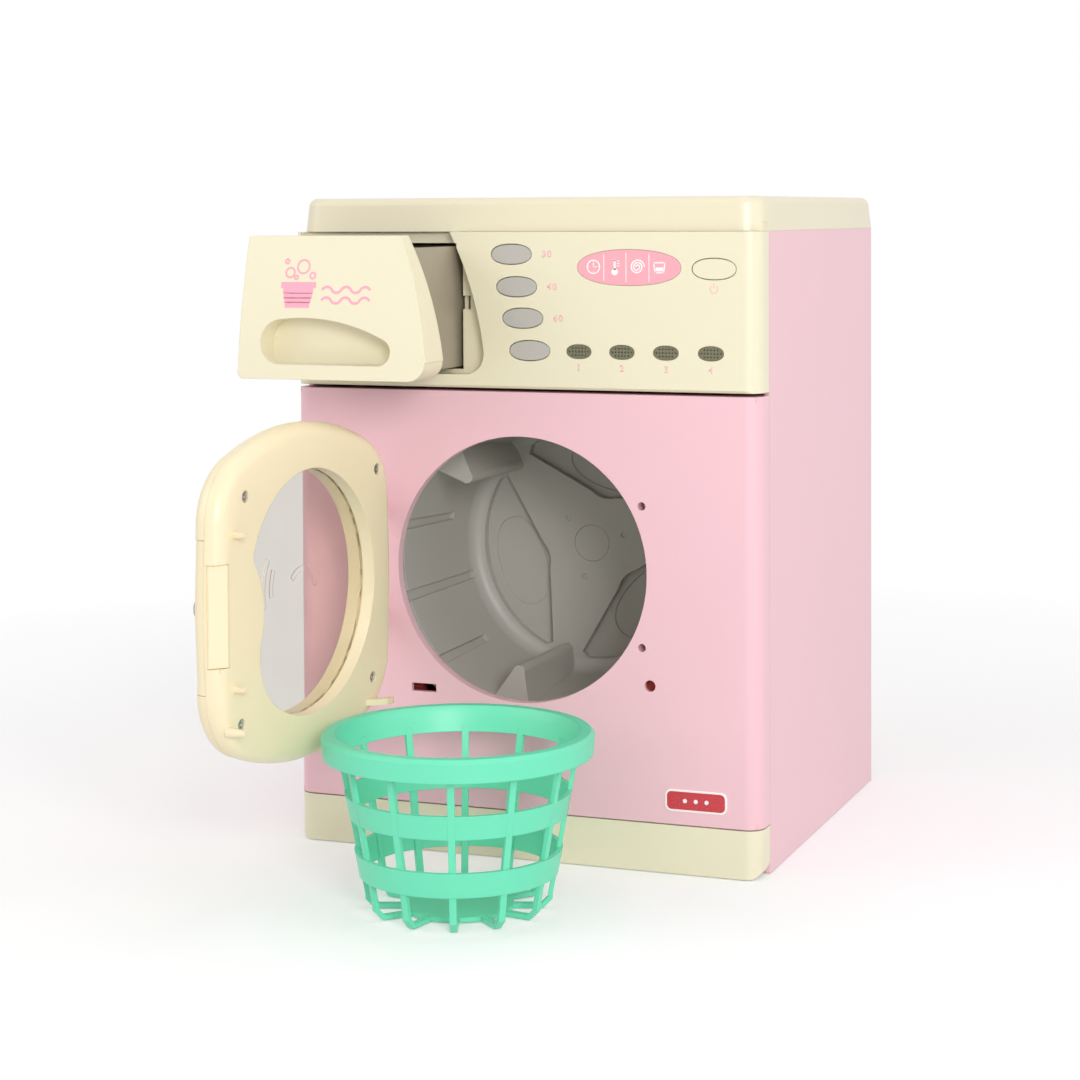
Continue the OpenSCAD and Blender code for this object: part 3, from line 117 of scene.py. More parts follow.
def add(tree, kind, settings=None, links=None):
    node = tree.nodes.new(kind)
    for key, value in (settings or {}).items():
        if isinstance(key, str) and hasattr(node, key):
            setattr(node, key, value)
        else:
            node.inputs[key].default_value = value
    for socket, source in (links or {}).items():
        tree.links.new(source, node.inputs[socket])
    return node


def new_material(name):
    material = bpy.data.materials.new(name)
    material.use_nodes = True
    tree = material.node_tree
    tree.nodes.clear()
    return material, tree

# %% [markdown]
# ## Moulded plastic
# Most of the toy is ABS, injection moulded in polished steel tools. Its skin is even, with a
# soft shine, a faint orange peel a few millimetres across where the melt cooled, and a fine
# grain of a fraction of a millimetre. The colour is a hair uneven where the wall is thick.
# Sharp corners of the solids catch no light, so a bevel of under a millimetre is added in shading.

# %% Moulded plastic
CLOUD_SCALE = 14.0
ABS_IOR = 1.54


def moulded(name, code, rough=0.34, peel_mm=9.0, peel=0.05, grain_mm=0.5, grain=0.02,
            edge_mm=0.5, deep=0.03, specular=0.5, soft=0.0, coat=0.0):
    material, tree = new_material(name)
    place = add(tree, "ShaderNodeTexCoord").outputs["Object"]
    wide = add(tree, "ShaderNodeTexNoise", {"Scale": 1000 / peel_mm, "Detail": 2.0},
               {"Vector": place})
    fine = add(tree, "ShaderNodeTexNoise", {"Scale": 1000 / grain_mm, "Detail": 3.0},
               {"Vector": place})
    cloud = add(tree, "ShaderNodeTexNoise", {"Scale": CLOUD_SCALE, "Detail": 2.0},
                {"Vector": place})
    base = linear(code)
    shade = tuple(c * (1 - deep) for c in base[:3]) + (1,)
    tint = add(tree, "ShaderNodeMix", {"data_type": "RGBA"}, {0: cloud.outputs["Fac"]})
    tint.inputs[6].default_value = shade
    tint.inputs[7].default_value = tuple(min(1, c * (1 + deep / 2)) for c in base[:3]) + (1,)
    gloss = add(tree, "ShaderNodeMapRange",
                {"From Min": 0.3, "From Max": 0.7, "To Min": rough - 0.03, "To Max": rough + 0.04},
                {"Value": fine.outputs["Fac"]})
    edge = add(tree, "ShaderNodeBevel", {"samples": 4, "Radius": edge_mm * MM})
    bump_wide = add(tree, "ShaderNodeBump", {"Strength": peel, "Distance": 0.8 * MM},
                    {"Height": wide.outputs["Fac"], "Normal": edge.outputs["Normal"]})
    bump = add(tree, "ShaderNodeBump", {"Strength": grain, "Distance": 0.2 * MM},
               {"Height": fine.outputs["Fac"], "Normal": bump_wide.outputs["Normal"]})
    skin = add(tree, "ShaderNodeBsdfPrincipled",
               {"IOR": ABS_IOR, "Specular IOR Level": specular,
                "Subsurface Weight": soft, "Subsurface Scale": 2 * MM,
                "Coat Weight": coat, "Coat Roughness": 0.12},
               {"Base Color": tint.outputs[2], "Roughness": gloss.outputs["Result"],
                "Normal": bump.outputs["Normal"]})
    add(tree, "ShaderNodeOutputMaterial", links={"Surface": skin.outputs[0]})
    return material


pink_abs = moulded("moulded_abs_pale_pink", "#ECBFC8", rough=0.36, grain=0.05, grain_mm=0.7)
cream_abs = moulded("moulded_abs_cream", "#E7DFC3", rough=0.30)
door_abs = moulded("moulded_abs_cream_door", "#F1E2BE", rough=0.32)
lid_abs = moulded("moulded_abs_cream_lid", "#E4DBBF", rough=0.33, grain=0.04)
mint_pp = moulded("moulded_polypropylene_mint", "#66DCB4", rough=0.45, peel=0.08, soft=0.08,
                  specular=0.75)
drum_pp = moulded("moulded_polypropylene_warm_grey", "#BBB7AF", rough=0.42, grain=0.06,
                  grain_mm=0.6)
key_abs = moulded("moulded_abs_grey_keys", "#B9B5AE", rough=0.28)
taupe_ps = moulded("moulded_polystyrene_taupe", "#A09684", rough=0.34)
badge_abs = moulded("moulded_abs_rose", "#EFA6B2", rough=0.22, coat=0.3)
window_abs = moulded("moulded_abs_olive_light_cover", "#6E6B52", rough=0.42)
red_abs = moulded("moulded_abs_dull_red", "#C4504A", rough=0.4)
black_abs = moulded("moulded_abs_black", "#1B1B1C", rough=0.45)
white_pom = moulded("moulded_acetal_white", "#ECEBE4", rough=0.35)
ochre_pom = moulded("moulded_acetal_ochre", "#D8B768", rough=0.35)
rubber = moulded("moulded_rubber_black", "#222222", rough=0.75, grain=0.15)
board_epoxy = moulded("laminated_epoxy_green", "#2E5B38", rough=0.35, coat=0.5)
lens_epoxy = moulded("cast_epoxy_milky", "#E8E2D2", rough=0.15)
cell_film = moulded("shrink_film_blue_grey", "#3D4450", rough=0.2, coat=0.4)
print("plastics made:", len(bpy.data.materials))

# %% [markdown]
# ## Steel
# The little screws and pins are nickel-plated steel wire and turned heads. Turning leaves rings
# a tenth of a millimetre apart, too fine to see here, so a streaky roughness stands for them.

# %% Plated steel
def plated(name, code, rough):
    material, tree = new_material(name)
    place = add(tree, "ShaderNodeTexCoord").outputs["Object"]
    streak = add(tree, "ShaderNodeTexNoise", {"Scale": 900.0, "Detail": 2.0}, {"Vector": place})
    gloss = add(tree, "ShaderNodeMapRange", {"To Min": rough - 0.08, "To Max": rough + 0.08},
                {"Value": streak.outputs["Fac"]})
    edge = add(tree, "ShaderNodeBevel", {"samples": 4, "Radius": 0.1 * MM})
    bump = add(tree, "ShaderNodeBump", {"Strength": 0.08, "Distance": 0.1 * MM},
               {"Height": streak.outputs["Fac"], "Normal": edge.outputs["Normal"]})
    skin = add(tree, "ShaderNodeBsdfPrincipled", {"Base Color": linear(code), "Metallic": 1.0},
               {"Roughness": gloss.outputs["Result"], "Normal": bump.outputs["Normal"]})
    add(tree, "ShaderNodeOutputMaterial", links={"Surface": skin.outputs[0]})
    return material


steel = plated("nickel_plated_steel", "#C9C8C6", 0.28)

# %% [markdown]
# ## The clear window
# The door's pane is moulded polystyrene: clear, a touch grey, with a slight ripple from the
# mould. It is a thin flat sheet that hardly bends what lies behind it, so its index of
# refraction is set close to that of air. Its shadow is a light grey tint.

# %% Clear polystyrene
THIN_SHEET_IOR = 1.1
clear_ps, tree = new_material("moulded_polystyrene_clear")
place = add(tree, "ShaderNodeTexCoord").outputs["Object"]
ripple = add(tree, "ShaderNodeTexNoise", {"Scale": 60.0, "Detail": 1.0}, {"Vector": place})
bump = add(tree, "ShaderNodeBump", {"Strength": 0.06, "Distance": 0.6 * MM},
           {"Height": ripple.outputs["Fac"]})
clear_tint = add(tree, "ShaderNodeMix", {"data_type": "RGBA"}, {0: ripple.outputs["Fac"]})
clear_tint.inputs[6].default_value = linear("#D9D5CE")
clear_tint.inputs[7].default_value = linear("#DFDBD4")
glass = add(tree, "ShaderNodeBsdfPrincipled",
            {"Roughness": 0.03, "IOR": THIN_SHEET_IOR, "Transmission Weight": 1.0},
            {"Base Color": clear_tint.outputs[2], "Normal": bump.outputs["Normal"]})
see = add(tree, "ShaderNodeBsdfTransparent", {"Color": linear("#F2EFEA")})
paths = add(tree, "ShaderNodeLightPath")
pane_mix = add(tree, "ShaderNodeMixShader",
               links={0: paths.outputs["Is Shadow Ray"], 1: glass.outputs[0], 2: see.outputs[0]})
add(tree, "ShaderNodeOutputMaterial", links={"Surface": pane_mix.outputs[0]})
print("clear pane ready")

# %% [markdown]
# ## Dressing the CAD parts
# Every part gets the material it is really made of, by name.

# %% Dress every part
dress = {
    pink_abs: ["side_shell", "front_panel", "battery_door"],
    cream_abs: ["base_tray", "control_panel", "drawer_tunnel", "drawer_front", "power_button"],
    door_abs: ["door_inner_shell", "door_outer_shell", "door_handle", "door_catch_cover"],
    lid_abs: ["top_lid"],
    mint_pp: ["basket"],
    drum_pp: ["drum_shell", "hub_cap", "bearing_plate"],
    key_abs: ["function_button_1", "function_button_2", "function_button_3",
              "function_button_4", "release_button"],
    taupe_ps: ["drawer_box"],
    badge_abs: ["icon_badge"],
    window_abs: ["led_windows"],
    red_abs: ["door_switch", "peg_socket"],
    black_abs: ["tact_switches", "motor_clamp", "battery_box", "speaker"],
    white_pom: ["drum_gear", "motor_pinion"],
    ochre_pom: ["spindle_bush"],
    rubber: ["rubber_feet"],
    board_epoxy: ["led_board"],
    lens_epoxy: ["leds"],
    cell_film: ["battery_cells"],
    steel: ["motor", "motor_shaft", "battery_contacts", "battery_screw", "hinge_pins",
            "case_screws", "door_screws", "drawer_screws", "drum_spindle", "spindle_clip"],
    clear_ps: ["door_window"],
}
for material, names in dress.items():
    for name in names:
        part = nodes[name].data
        part.materials.clear()
        part.materials.append(material)
bare = [n for n, o in nodes.items() if not o.data.materials]
print("dressed", sum(len(v) for v in dress.values()), "parts, bare:", bare)

# %% [markdown]
# ## Rounding the moulded parts
# A moulded part has no facets: every curve that the CAD model draws in short steps is one
# sweep on the real toy. So each part that is seen is copied, its loose faces are welded into
# one skin, and that skin is shaded smooth wherever two faces meet at less than a sharp corner.

# %% Weld and smooth a copy of a part
shown = {}
WELD = 0.002 * MM
# Corners sharper than this many degrees stay as edges.
SHARP_CORNER = 33
DRUM_CORNER = 24


def clear_selection():
    if bpy.context.object and bpy.context.object.mode != "OBJECT":
        bpy.ops.object.mode_set(mode="OBJECT")
    bpy.ops.object.select_all(action="DESELECT")


def take(piece):
    clear_selection()
    piece.select_set(True)
    bpy.context.view_layer.objects.active = piece


def smooth_copy(name, corner):
    piece = bpy.data.objects.new(name + "_skin", nodes[name].data.copy())
    bpy.context.scene.collection.objects.link(piece)
    take(piece)
    if piece.data.has_custom_normals:
        bpy.ops.mesh.customdata_custom_splitnormals_clear()
    bpy.ops.object.mode_set(mode="EDIT")
    bpy.ops.mesh.select_all(action="SELECT")
    bpy.ops.mesh.remove_doubles(threshold=WELD)
    bpy.ops.object.mode_set(mode="OBJECT")
    bpy.ops.object.shade_smooth_by_angle(angle=math.radians(corner))
    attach(piece, nodes[name]["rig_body"])
    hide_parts(name)
    shown[name] = piece


for name in ["door_inner_shell", "door_outer_shell", "door_handle", "door_catch_cover",
             "door_window", "release_button", "drawer_front", "drawer_box", "top_lid",
             "control_panel", "front_panel", "side_shell", "base_tray", "basket", "drum_shell",
             "hub_cap", "icon_badge", "led_windows", "function_button_1", "function_button_2",
             "function_button_3", "function_button_4", "power_button", "door_screws",
             "peg_socket", "door_switch"]:
    smooth_copy(name, DRUM_CORNER if name == "drum_shell" else SHARP_CORNER)
print("welded and smoothed:", len(shown), "parts")

# %% [markdown]
# The pane's rim sits in a groove of the door, where it would look dark through the clear
# plastic. The rim faces are given the door's cream as painted light. The real groove looks cream,
# and this cream hides the shade that falls in the groove. They are the faces that stand on edge
# further out than the raised marks in the middle of the pane.

# %% Rim of the pane
RELIEF_REACH = 33 * MM
ON_EDGE = 0.3
pane = shown["door_window"]
pane.data.materials.append(door_abs)
corners = [v.co for v in pane.data.vertices]
middle = Vector([(min(c[i] for c in corners) + max(c[i] for c in corners)) / 2 for i in range(3)])
across = max(pane.data.polygons, key=lambda face: face.area).normal.copy()
painted_light_rim_faces = 0
for face in pane.data.polygons:
    away = face.center - middle
    away -= across * away.dot(across)
    if abs(face.normal.dot(across)) < ON_EDGE and away.length > RELIEF_REACH:
        # The door's cream on these faces is painted light over the shade in the groove.
        face.material_index = len(pane.data.materials) - 1
        painted_light_rim_faces += 1
print("pane rim faces:", painted_light_rim_faces, "of", len(pane.data.polygons))

# %% [markdown]
# ## Printed marks
# Pad printing leaves a film of ink a few hundredths of a millimetre thick. Each mark is made
# flat, facing the front, then pulled out to a thin film that starts just inside the surface.
# Ink is matt beside moulded plastic, and a touch uneven where the pad lifted.

# %% Inks
def printed_ink(colour, code):
    return moulded("pad_printed_ink_" + colour, code, rough=0.5, peel=0.02, edge_mm=0.05,
                   specular=0.35)


ink_pink = printed_ink("pink", "#F7A9BC")
ink_faint = printed_ink("faint_pink", "#F4BFC3")
ink_white = printed_ink("white", "#FBEFF0")
label_red = moulded("printed_vinyl_red", "#C62936", rough=0.25, peel=0.03, edge_mm=0.2, coat=0.4)
FILM = 0.08 * MM

# %% [markdown]
# A mark is put together from flat pieces: rings and discs, straight bars, and bands that turn
# round a point. Each is a circle or a plane shaped in edit mode.

# %% Flat pieces of a mark
UPRIGHT = (math.pi / 2, 0, 0)


def ring_mark(x, z, r, width, y, sides=32):
    clear_selection()
    bpy.ops.mesh.primitive_circle_add(vertices=sides, radius=r, fill_type="NGON",
                                      location=(x, y, z), rotation=UPRIGHT)
    piece = bpy.context.object
    bpy.ops.object.mode_set(mode="EDIT")
    bpy.ops.mesh.select_all(action="SELECT")
    if width < r:
        bpy.ops.mesh.inset(thickness=width)
        bpy.ops.mesh.delete(type="FACE")
    bpy.ops.object.mode_set(mode="OBJECT")
    bpy.ops.object.transform_apply(location=True, rotation=True, scale=True)
    return piece


def bar_mark(x, z, long, width, y, angle=0.0, parts=1):
    clear_selection()
    bpy.ops.mesh.primitive_plane_add(size=1, location=(x, y, z))
    piece = bpy.context.object
    piece.scale = (long, width, 1)
    piece.rotation_euler = (math.pi / 2, -angle, 0)
    bpy.ops.object.transform_apply(location=True, rotation=True, scale=True)
    bpy.ops.object.mode_set(mode="EDIT")
    bpy.ops.mesh.select_all(action="SELECT")
    if parts > 1:
        bpy.ops.mesh.subdivide(number_cuts=parts - 1)
    bpy.ops.object.mode_set(mode="OBJECT")
    return piece


def band_mark(turns, width, y):
    """A band that turns round one point after another.

    Each turn is (x, z, radius, start, sweep).
    """
    x, z, r, start, _ = turns[0]
    out = Vector((math.cos(start), 0, math.sin(start)))
    clear_selection()
    bpy.ops.mesh.primitive_plane_add(size=width, location=(x + r * out.x, y, z + r * out.z))
    piece = bpy.context.object
    bpy.ops.object.transform_apply(location=True, rotation=True, scale=True)
    bpy.ops.object.mode_set(mode="EDIT")
    bpy.ops.mesh.select_all(action="SELECT")
    bpy.ops.mesh.merge(type="CENTER")
    bpy.ops.mesh.select_all(action="SELECT")
    bpy.ops.transform.translate(value=-out * width / 2)
    bpy.ops.mesh.extrude_vertices_move(TRANSFORM_OT_translate={"value": out * width})
    bpy.ops.mesh.select_all(action="SELECT")
    for x, z, r, start, sweep in turns:
        steps = max(4, int(abs(sweep) * 6))
        bpy.ops.mesh.spin(steps=steps, angle=sweep, center=(x, y, z), axis=(0, 1, 0))
    bpy.ops.mesh.select_all(action="SELECT")
    bpy.ops.mesh.remove_doubles(threshold=0.005 * MM)
    bpy.ops.object.mode_set(mode="OBJECT")
    return piece


# A font's size is larger than its digits are tall, by this factor for the built-in font.
SIZE_PER_DIGIT = 1.42


def digits_mark(text, x, z, height, y):
    clear_selection()
    bpy.ops.object.text_add(location=(0, 0, 0))
    piece = bpy.context.object
    piece.data.body = text
    piece.data.align_x = "CENTER"
    piece.data.align_y = "CENTER"
    piece.data.space_character = 1.25
    piece.data.size = height * SIZE_PER_DIGIT
    piece.data.offset = 0.1 * MM
    piece.data.resolution_u = 4
    bpy.ops.object.convert(target="MESH")
    piece = bpy.context.object
    piece.rotation_euler = UPRIGHT
    piece.location = (x, y, z)
    bpy.ops.object.transform_apply(location=True, rotation=True, scale=True)
    return piece


def print_marks(name, flat, ink, body, onto=None):
    """Joins flat marks, gives them the film's thickness and fixes them to a body."""
    clear_selection()
    for piece in flat:
        piece.select_set(True)
    bpy.context.view_layer.objects.active = flat[0]
    if len(flat) > 1:
        bpy.ops.object.join()
    mark = bpy.context.object
    mark.name = name
    if onto is not None:
        wrap = mark.modifiers.new("lay_on", "SHRINKWRAP")
        wrap.target = onto
        wrap.wrap_method = "PROJECT"
        wrap.use_project_y = True
        wrap.use_positive_direction = True
        wrap.use_negative_direction = True
        wrap.offset = 0.02 * MM
        bpy.ops.object.modifier_apply(modifier="lay_on")
    bpy.ops.object.mode_set(mode="EDIT")
    bpy.ops.mesh.select_all(action="SELECT")
    bpy.ops.mesh.remove_doubles(threshold=WELD)
    bpy.ops.mesh.extrude_region_move(TRANSFORM_OT_translate={"value": (0, -FILM, 0)})
    bpy.ops.mesh.select_all(action="SELECT")
    bpy.ops.mesh.normals_make_consistent(inside=False)
    bpy.ops.object.mode_set(mode="OBJECT")
    mark.data.materials.clear()
    mark.data.materials.append(ink)
    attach(mark, body)
    print(name, len(mark.data.polygons), "faces")

# %% [markdown]
# ## The badge
# The rose badge carries four small white pictures of what the machine does: a clock, a
# thermometer, a spinning drum and a tub of water, parted by three hairlines. They are simple
# signs of the kind that any washing machine carries, drawn here afresh.

# %% White pictures on the badge
low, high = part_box("icon_badge")
badge_y = low.y + 0.02 * MM
badge_x = (low.x + high.x) / 2
badge_z = (low.z + high.z) / 2
half_turn = math.pi

clock_x, clock_z = badge_x - 16.6 * MM, badge_z + 0.3 * MM
clock = [ring_mark(clock_x, clock_z, 3.2 * MM, 0.55 * MM, badge_y),
         bar_mark(clock_x, clock_z + 0.9 * MM, 0.5 * MM, 2.0 * MM, badge_y),
         bar_mark(clock_x + 0.7 * MM, clock_z, 1.6 * MM, 0.5 * MM, badge_y)]
for hour in range(4):
    turn_by = hour * half_turn / 2
    clock.append(bar_mark(clock_x + 2.25 * MM * math.cos(turn_by),
                          clock_z + 2.25 * MM * math.sin(turn_by),
                          0.5 * MM, 0.32 * MM, badge_y, angle=turn_by))

heat_x, heat_z = badge_x - 6.6 * MM, badge_z + 0.3 * MM
heat = [ring_mark(heat_x, heat_z - 2.2 * MM, 1.55 * MM, 1.55 * MM, badge_y, sides=24),
        bar_mark(heat_x, heat_z + 0.9 * MM, 1.0 * MM, 4.4 * MM, badge_y),
        ring_mark(heat_x, heat_z + 3.1 * MM, 0.5 * MM, 0.5 * MM, badge_y, sides=16)]
for tick in range(3):
    tick_z = heat_z + (0.4 + 1.1 * tick) * MM
    heat.append(bar_mark(heat_x + 1.75 * MM, tick_z, 1.2 * MM, 0.38 * MM, badge_y))

spin_x, spin_z = badge_x + 4.2 * MM, badge_z + 0.3 * MM
arm = []
radius, centre = 3.05 * MM, spin_x
for step in range(5):
    start = 0.0 if step % 2 == 0 else half_turn
    arm.append((centre, spin_z, radius, start, half_turn))
    tip = centre + radius * math.cos(start + half_turn)
    radius -= 0.55 * MM
    centre = tip + radius * (1 if step % 2 == 0 else -1)
spiral = [band_mark(arm, 0.6 * MM, badge_y)]

tub_x, tub_z = badge_x + 14.2 * MM, badge_z + 0.2 * MM
tub = [bar_mark(tub_x, tub_z + 2.0 * MM, 6.0 * MM, 0.6 * MM, badge_y),
       bar_mark(tub_x, tub_z - 2.4 * MM, 3.9 * MM, 0.6 * MM, badge_y),
       bar_mark(tub_x - 2.3 * MM, tub_z - 0.2 * MM, 0.6 * MM, 4.6 * MM, badge_y, angle=0.17),
       bar_mark(tub_x + 2.3 * MM, tub_z - 0.2 * MM, 0.6 * MM, 4.6 * MM, badge_y, angle=-0.17),
       bar_mark(tub_x, tub_z - 0.9 * MM, 3.4 * MM, 1.7 * MM, badge_y)]

hairlines = [bar_mark(badge_x + x * MM, badge_z, 0.35 * MM, tall * MM, badge_y)
             for x, tall in ((-11.7, 11.6), (-1.3, 13.2), (9.4, 12.4))]
pictures = clock + heat + spiral + tub + hairlines
print_marks("badge_pictures", pictures, ink_white, "cabinet")

# %% [markdown]
# ## Numbers and signs on the fascia
# Beside three of the keys stands a programme number, and under each little light its place in
# the cycle. A broken ring with a bar, the common sign for on and off, stands under the pale key.

# %% Pink numbers and the on-off sign
KEY_NUMBERS = {"function_button_1": "30", "function_button_2": "40", "function_button_3": "60"}
DIGIT_TALL = 2.9 * MM
KEY_TO_NUMBER = 17.2 * MM
fascia_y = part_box("control_panel")[0].y + 0.02 * MM
numbers = []
for key, number in KEY_NUMBERS.items():
    low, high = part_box(key)
    number_x, number_z = (low.x + high.x) / 2 + KEY_TO_NUMBER, (low.z + high.z) / 2
    numbers.append(digits_mark(number, number_x, number_z, DIGIT_TALL, fascia_y))
low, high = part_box("led_windows")
light_z = (low.z + high.z) / 2
LIGHT_LONG = 13.9 * MM
step_x = (high.x - low.x - LIGHT_LONG) / 3
for place in range(4):
    light_x = low.x + LIGHT_LONG / 2 + place * step_x
    numbers.append(digits_mark(str(place + 1), light_x, light_z - 7.3 * MM, DIGIT_TALL, fascia_y))
low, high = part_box("power_button")
sign_x, sign_z = (low.x + high.x) / 2, (low.z + high.z) / 2 - 8.8 * MM
broken_ring = (sign_x, sign_z, 1.7 * MM, math.radians(125), math.radians(290))
numbers.append(band_mark([broken_ring], 0.5 * MM, fascia_y))
numbers.append(bar_mark(sign_x, sign_z + 1.5 * MM, 0.5 * MM, 2.1 * MM, fascia_y))
print_marks("fascia_numbers", numbers, ink_faint, "cabinet")

# %% [markdown]
# ## A picture on the drawer
# The drawer's face carries a pink picture. Here it is a plain wash tub under rising bubbles,
# with two ripples beside it. The face bows outwards, so the flat marks are laid on it by
# projection before they get their thickness.

# %% Tub and bubbles on the drawer face
low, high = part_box("drawer_front")
face_y = low.y - 1 * MM
art_x = low.x + 0.30 * (high.x - low.x)
art_z = high.z - 20.5 * MM
picture = [bar_mark(art_x, art_z - 1.0 * MM, 17.0 * MM, 2.6 * MM, face_y, parts=6)]
for row in range(4):
    picture.append(bar_mark(art_x, art_z + (-3.6 - 2.0 * row) * MM, (14.6 - 0.9 * row) * MM,
                            2.6 * MM, face_y, parts=6))
for x, z, r in ((-4.6, 4.4, 2.5), (1.6, 7.0, 3.3), (6.4, 3.1, 1.7), (-1.5, 2.3, 1.2),
                (-6.6, 9.3, 1.3)):
    picture.append(ring_mark(art_x + x * MM, art_z + z * MM, r * MM, 0.8 * MM, face_y))
for row in range(2):
    ripple_z = art_z + (-3.0 - 4.6 * row) * MM
    turns = []
    for wave in range(5):
        wave_x = art_x + (14.0 + 4.6 * wave) * MM
        side = 1 if wave % 2 == 0 else -1
        turns.append((wave_x, ripple_z - side * 1.4 * MM, 2.7 * MM,
                      math.radians(180 - side * 31), math.radians(-side * 118)))
    picture.append(band_mark(turns, 1.1 * MM, face_y))
print_marks("drawer_picture", picture, ink_pink, "drawer", onto=shown["drawer_front"])

# %% [markdown]
# ## A plain plaque
# Low on the right of the front sits a small raised red label with a pale rim. It is a rounded
# bar here and carries three pale dots and nothing else. The field is inset in the rim's top,
# and it is the widest of the faces that look forwards.

# %% Red plaque with a pale rim
FRONT_Y = -0.105
plaque_x, plaque_z, plaque_long, plaque_tall = 0.0828, 0.0328, 0.0286, 0.0098
plaque_y = FRONT_Y + 0.05 * MM
clear_selection()
bpy.ops.mesh.primitive_plane_add(size=1, location=(plaque_x, plaque_y, plaque_z),
                                 rotation=UPRIGHT)
plaque = bpy.context.object
plaque.name = "front_plaque"
plaque.scale = (plaque_long, plaque_tall, 1)
bpy.ops.object.transform_apply(location=True, rotation=True, scale=True)
bpy.ops.object.mode_set(mode="EDIT")
bpy.ops.mesh.select_all(action="SELECT")
bpy.ops.mesh.bevel(offset=3.0 * MM, segments=8, affect="VERTICES")
bpy.ops.mesh.extrude_region_move(TRANSFORM_OT_translate={"value": (0, -0.45 * MM, 0)})
bpy.ops.mesh.inset(thickness=0.25 * MM, depth=0.12 * MM)
bpy.ops.mesh.inset(thickness=0.55 * MM)
bpy.ops.mesh.inset(thickness=0.12 * MM, depth=-0.15 * MM)
bpy.ops.object.mode_set(mode="OBJECT")
plaque.data.materials.append(ink_white)
plaque.data.materials.append(label_red)
facing = [face for face in plaque.data.polygons if face.normal.y < -0.9]
field = max(facing, key=lambda face: face.area)
for face in plaque.data.polygons:
    face.material_index = 1 if face.index == field.index else 0
bpy.ops.object.mode_set(mode="EDIT")
bpy.ops.mesh.select_all(action="SELECT")
bpy.ops.mesh.normals_make_consistent(inside=False)
bpy.ops.object.mode_set(mode="OBJECT")
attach(plaque, "cabinet")
dot_y = plaque_y - 0.41 * MM
DOT_R = 0.95 * MM
dots = [ring_mark(plaque_x + x * MM, plaque_z, DOT_R, DOT_R, dot_y, sides=20) for x in (-5, 0, 5)]
print_marks("plaque_dots", dots, ink_white, "cabinet")
print("plaque faces:", len(plaque.data.polygons))

# %% [markdown]
# ## The studio
# A pale floor that runs out to white, one soft key lamp in front on the right that looks into
# the drum, a weaker one on each side, one above, and an even white surround. The floor is a
# little self-lit for the camera only, so it reads as white paper and still takes the shadow.

# %% Floor
def any_path(tree, paths, first, *others):
    """One where the ray is of any of the named kinds, else zero."""
    found = paths.outputs[first]
    for kind in others:
        found = add(tree, "ShaderNodeMath", {"operation": "MAXIMUM"},
                    {0: found, 1: paths.outputs[kind]}).outputs[0]
    return found


# The floor fades to pure white between these distances from the toy's middle, in metres.
WHITE_FROM, WHITE_ALL = 0.32, 0.75
FLOOR_GLOW = 0.22
clear_selection()
bpy.ops.mesh.primitive_plane_add(size=12, location=(0, 0, -0.4 * MM))
floor = bpy.context.object
floor.name = "studio_floor"
paper, tree = new_material("white_paper_floor")
paths = add(tree, "ShaderNodeLightPath")
place = add(tree, "ShaderNodeTexCoord").outputs["Object"]
fibre = add(tree, "ShaderNodeTexNoise", {"Scale": 300.0, "Detail": 2.0}, {"Vector": place})
tone = add(tree, "ShaderNodeMix", {"data_type": "RGBA"}, {0: fibre.outputs["Fac"]})
tone.inputs[6].default_value = (0.80, 0.80, 0.80, 1)
tone.inputs[7].default_value = (0.82, 0.82, 0.82, 1)
matt = add(tree, "ShaderNodeBsdfDiffuse", links={"Color": tone.outputs[2]})
lit = add(tree, "ShaderNodeEmission", {"Strength": FLOOR_GLOW})
both = add(tree, "ShaderNodeAddShader", links={0: matt.outputs[0], 1: lit.outputs[0]})
white = add(tree, "ShaderNodeEmission", {"Strength": 1.0})
spot = add(tree, "ShaderNodeVectorMath", {"operation": "LENGTH"}, {0: place})
fade = add(tree, "ShaderNodeMapRange", {"From Min": WHITE_FROM, "From Max": WHITE_ALL},
           {"Value": spot.outputs["Value"]})
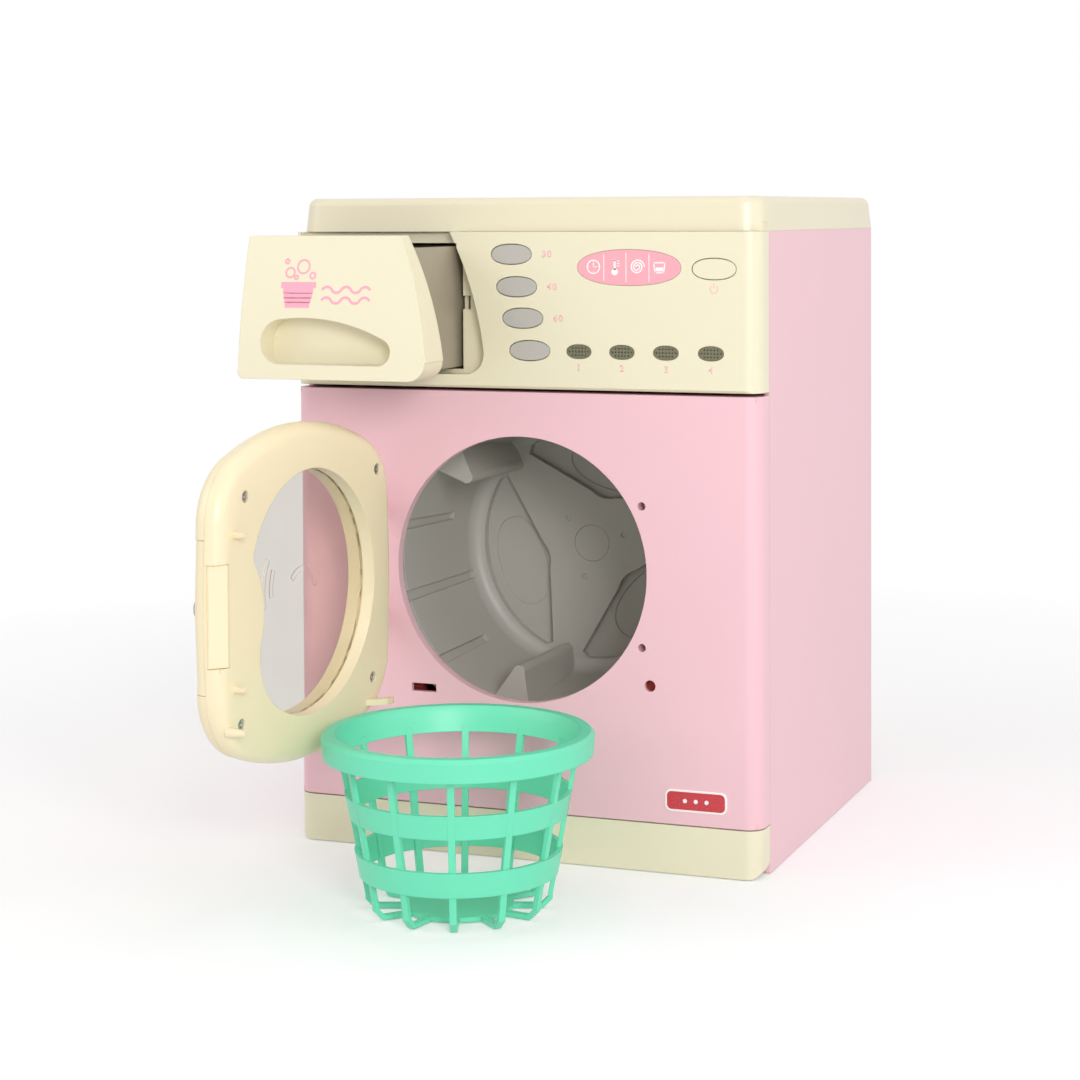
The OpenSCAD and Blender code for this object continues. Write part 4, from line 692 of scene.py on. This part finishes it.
paper_seen = add(tree, "ShaderNodeMixShader",
                 links={0: fade.outputs["Result"], 1: both.outputs[0], 2: white.outputs[0]})
seen = add(tree, "ShaderNodeMixShader",
           links={0: paths.outputs["Is Camera Ray"], 1: matt.outputs[0], 2: paper_seen.outputs[0]})
mirrored = any_path(tree, paths, "Is Glossy Ray", "Is Transmission Ray")
surface = add(tree, "ShaderNodeMixShader",
              links={0: mirrored, 1: seen.outputs[0], 2: white.outputs[0]})
add(tree, "ShaderNodeOutputMaterial", links={"Surface": surface.outputs[0]})
floor.data.materials.append(paper)

# %% World and lamps
bpy.context.scene.view_settings.view_transform = "Standard"
world = bpy.data.worlds.new("studio")
bpy.context.scene.world = world
world.use_nodes = True
tree = world.node_tree
tree.nodes.clear()
paths = add(tree, "ShaderNodeLightPath")
SURROUND = 0.62
around = add(tree, "ShaderNodeBackground", {"Color": (1, 1, 1, 1), "Strength": SURROUND})
backdrop = add(tree, "ShaderNodeBackground", {"Color": (1, 1, 1, 1), "Strength": 1.0})
looked_at = any_path(tree, paths, "Is Camera Ray", "Is Glossy Ray", "Is Transmission Ray")
sky = add(tree, "ShaderNodeMixShader",
          links={0: looked_at, 1: around.outputs[0], 2: backdrop.outputs[0]})
add(tree, "ShaderNodeOutputWorld", links={"Surface": sky.outputs[0]})


def soft_lamp(name, place, aim_z, size, power):
    data = bpy.data.lights.new(name, "AREA")
    data.shape = "SQUARE"
    data.size = size
    data.energy = power
    lamp = bpy.data.objects.new(name, data)
    bpy.context.scene.collection.objects.link(lamp)
    lamp.location = place
    sight = Vector((0, 0, aim_z)) - Vector(place)
    lamp.rotation_euler = sight.to_track_quat("-Z", "Y").to_euler()


soft_lamp("key_lamp", (1.05, -1.65, 0.70), aim_z=0.13, size=0.55, power=16.5)
soft_lamp("left_lamp", (-1.5, -1.1, 1.0), aim_z=0.12, size=1.2, power=7.5)
soft_lamp("right_lamp", (1.9, -0.3, 0.9), aim_z=0.15, size=1.2, power=5.2)
soft_lamp("top_lamp", (0.1, 0.2, 1.9), aim_z=0.1, size=1.0, power=3.6)

# %% Finish
import json
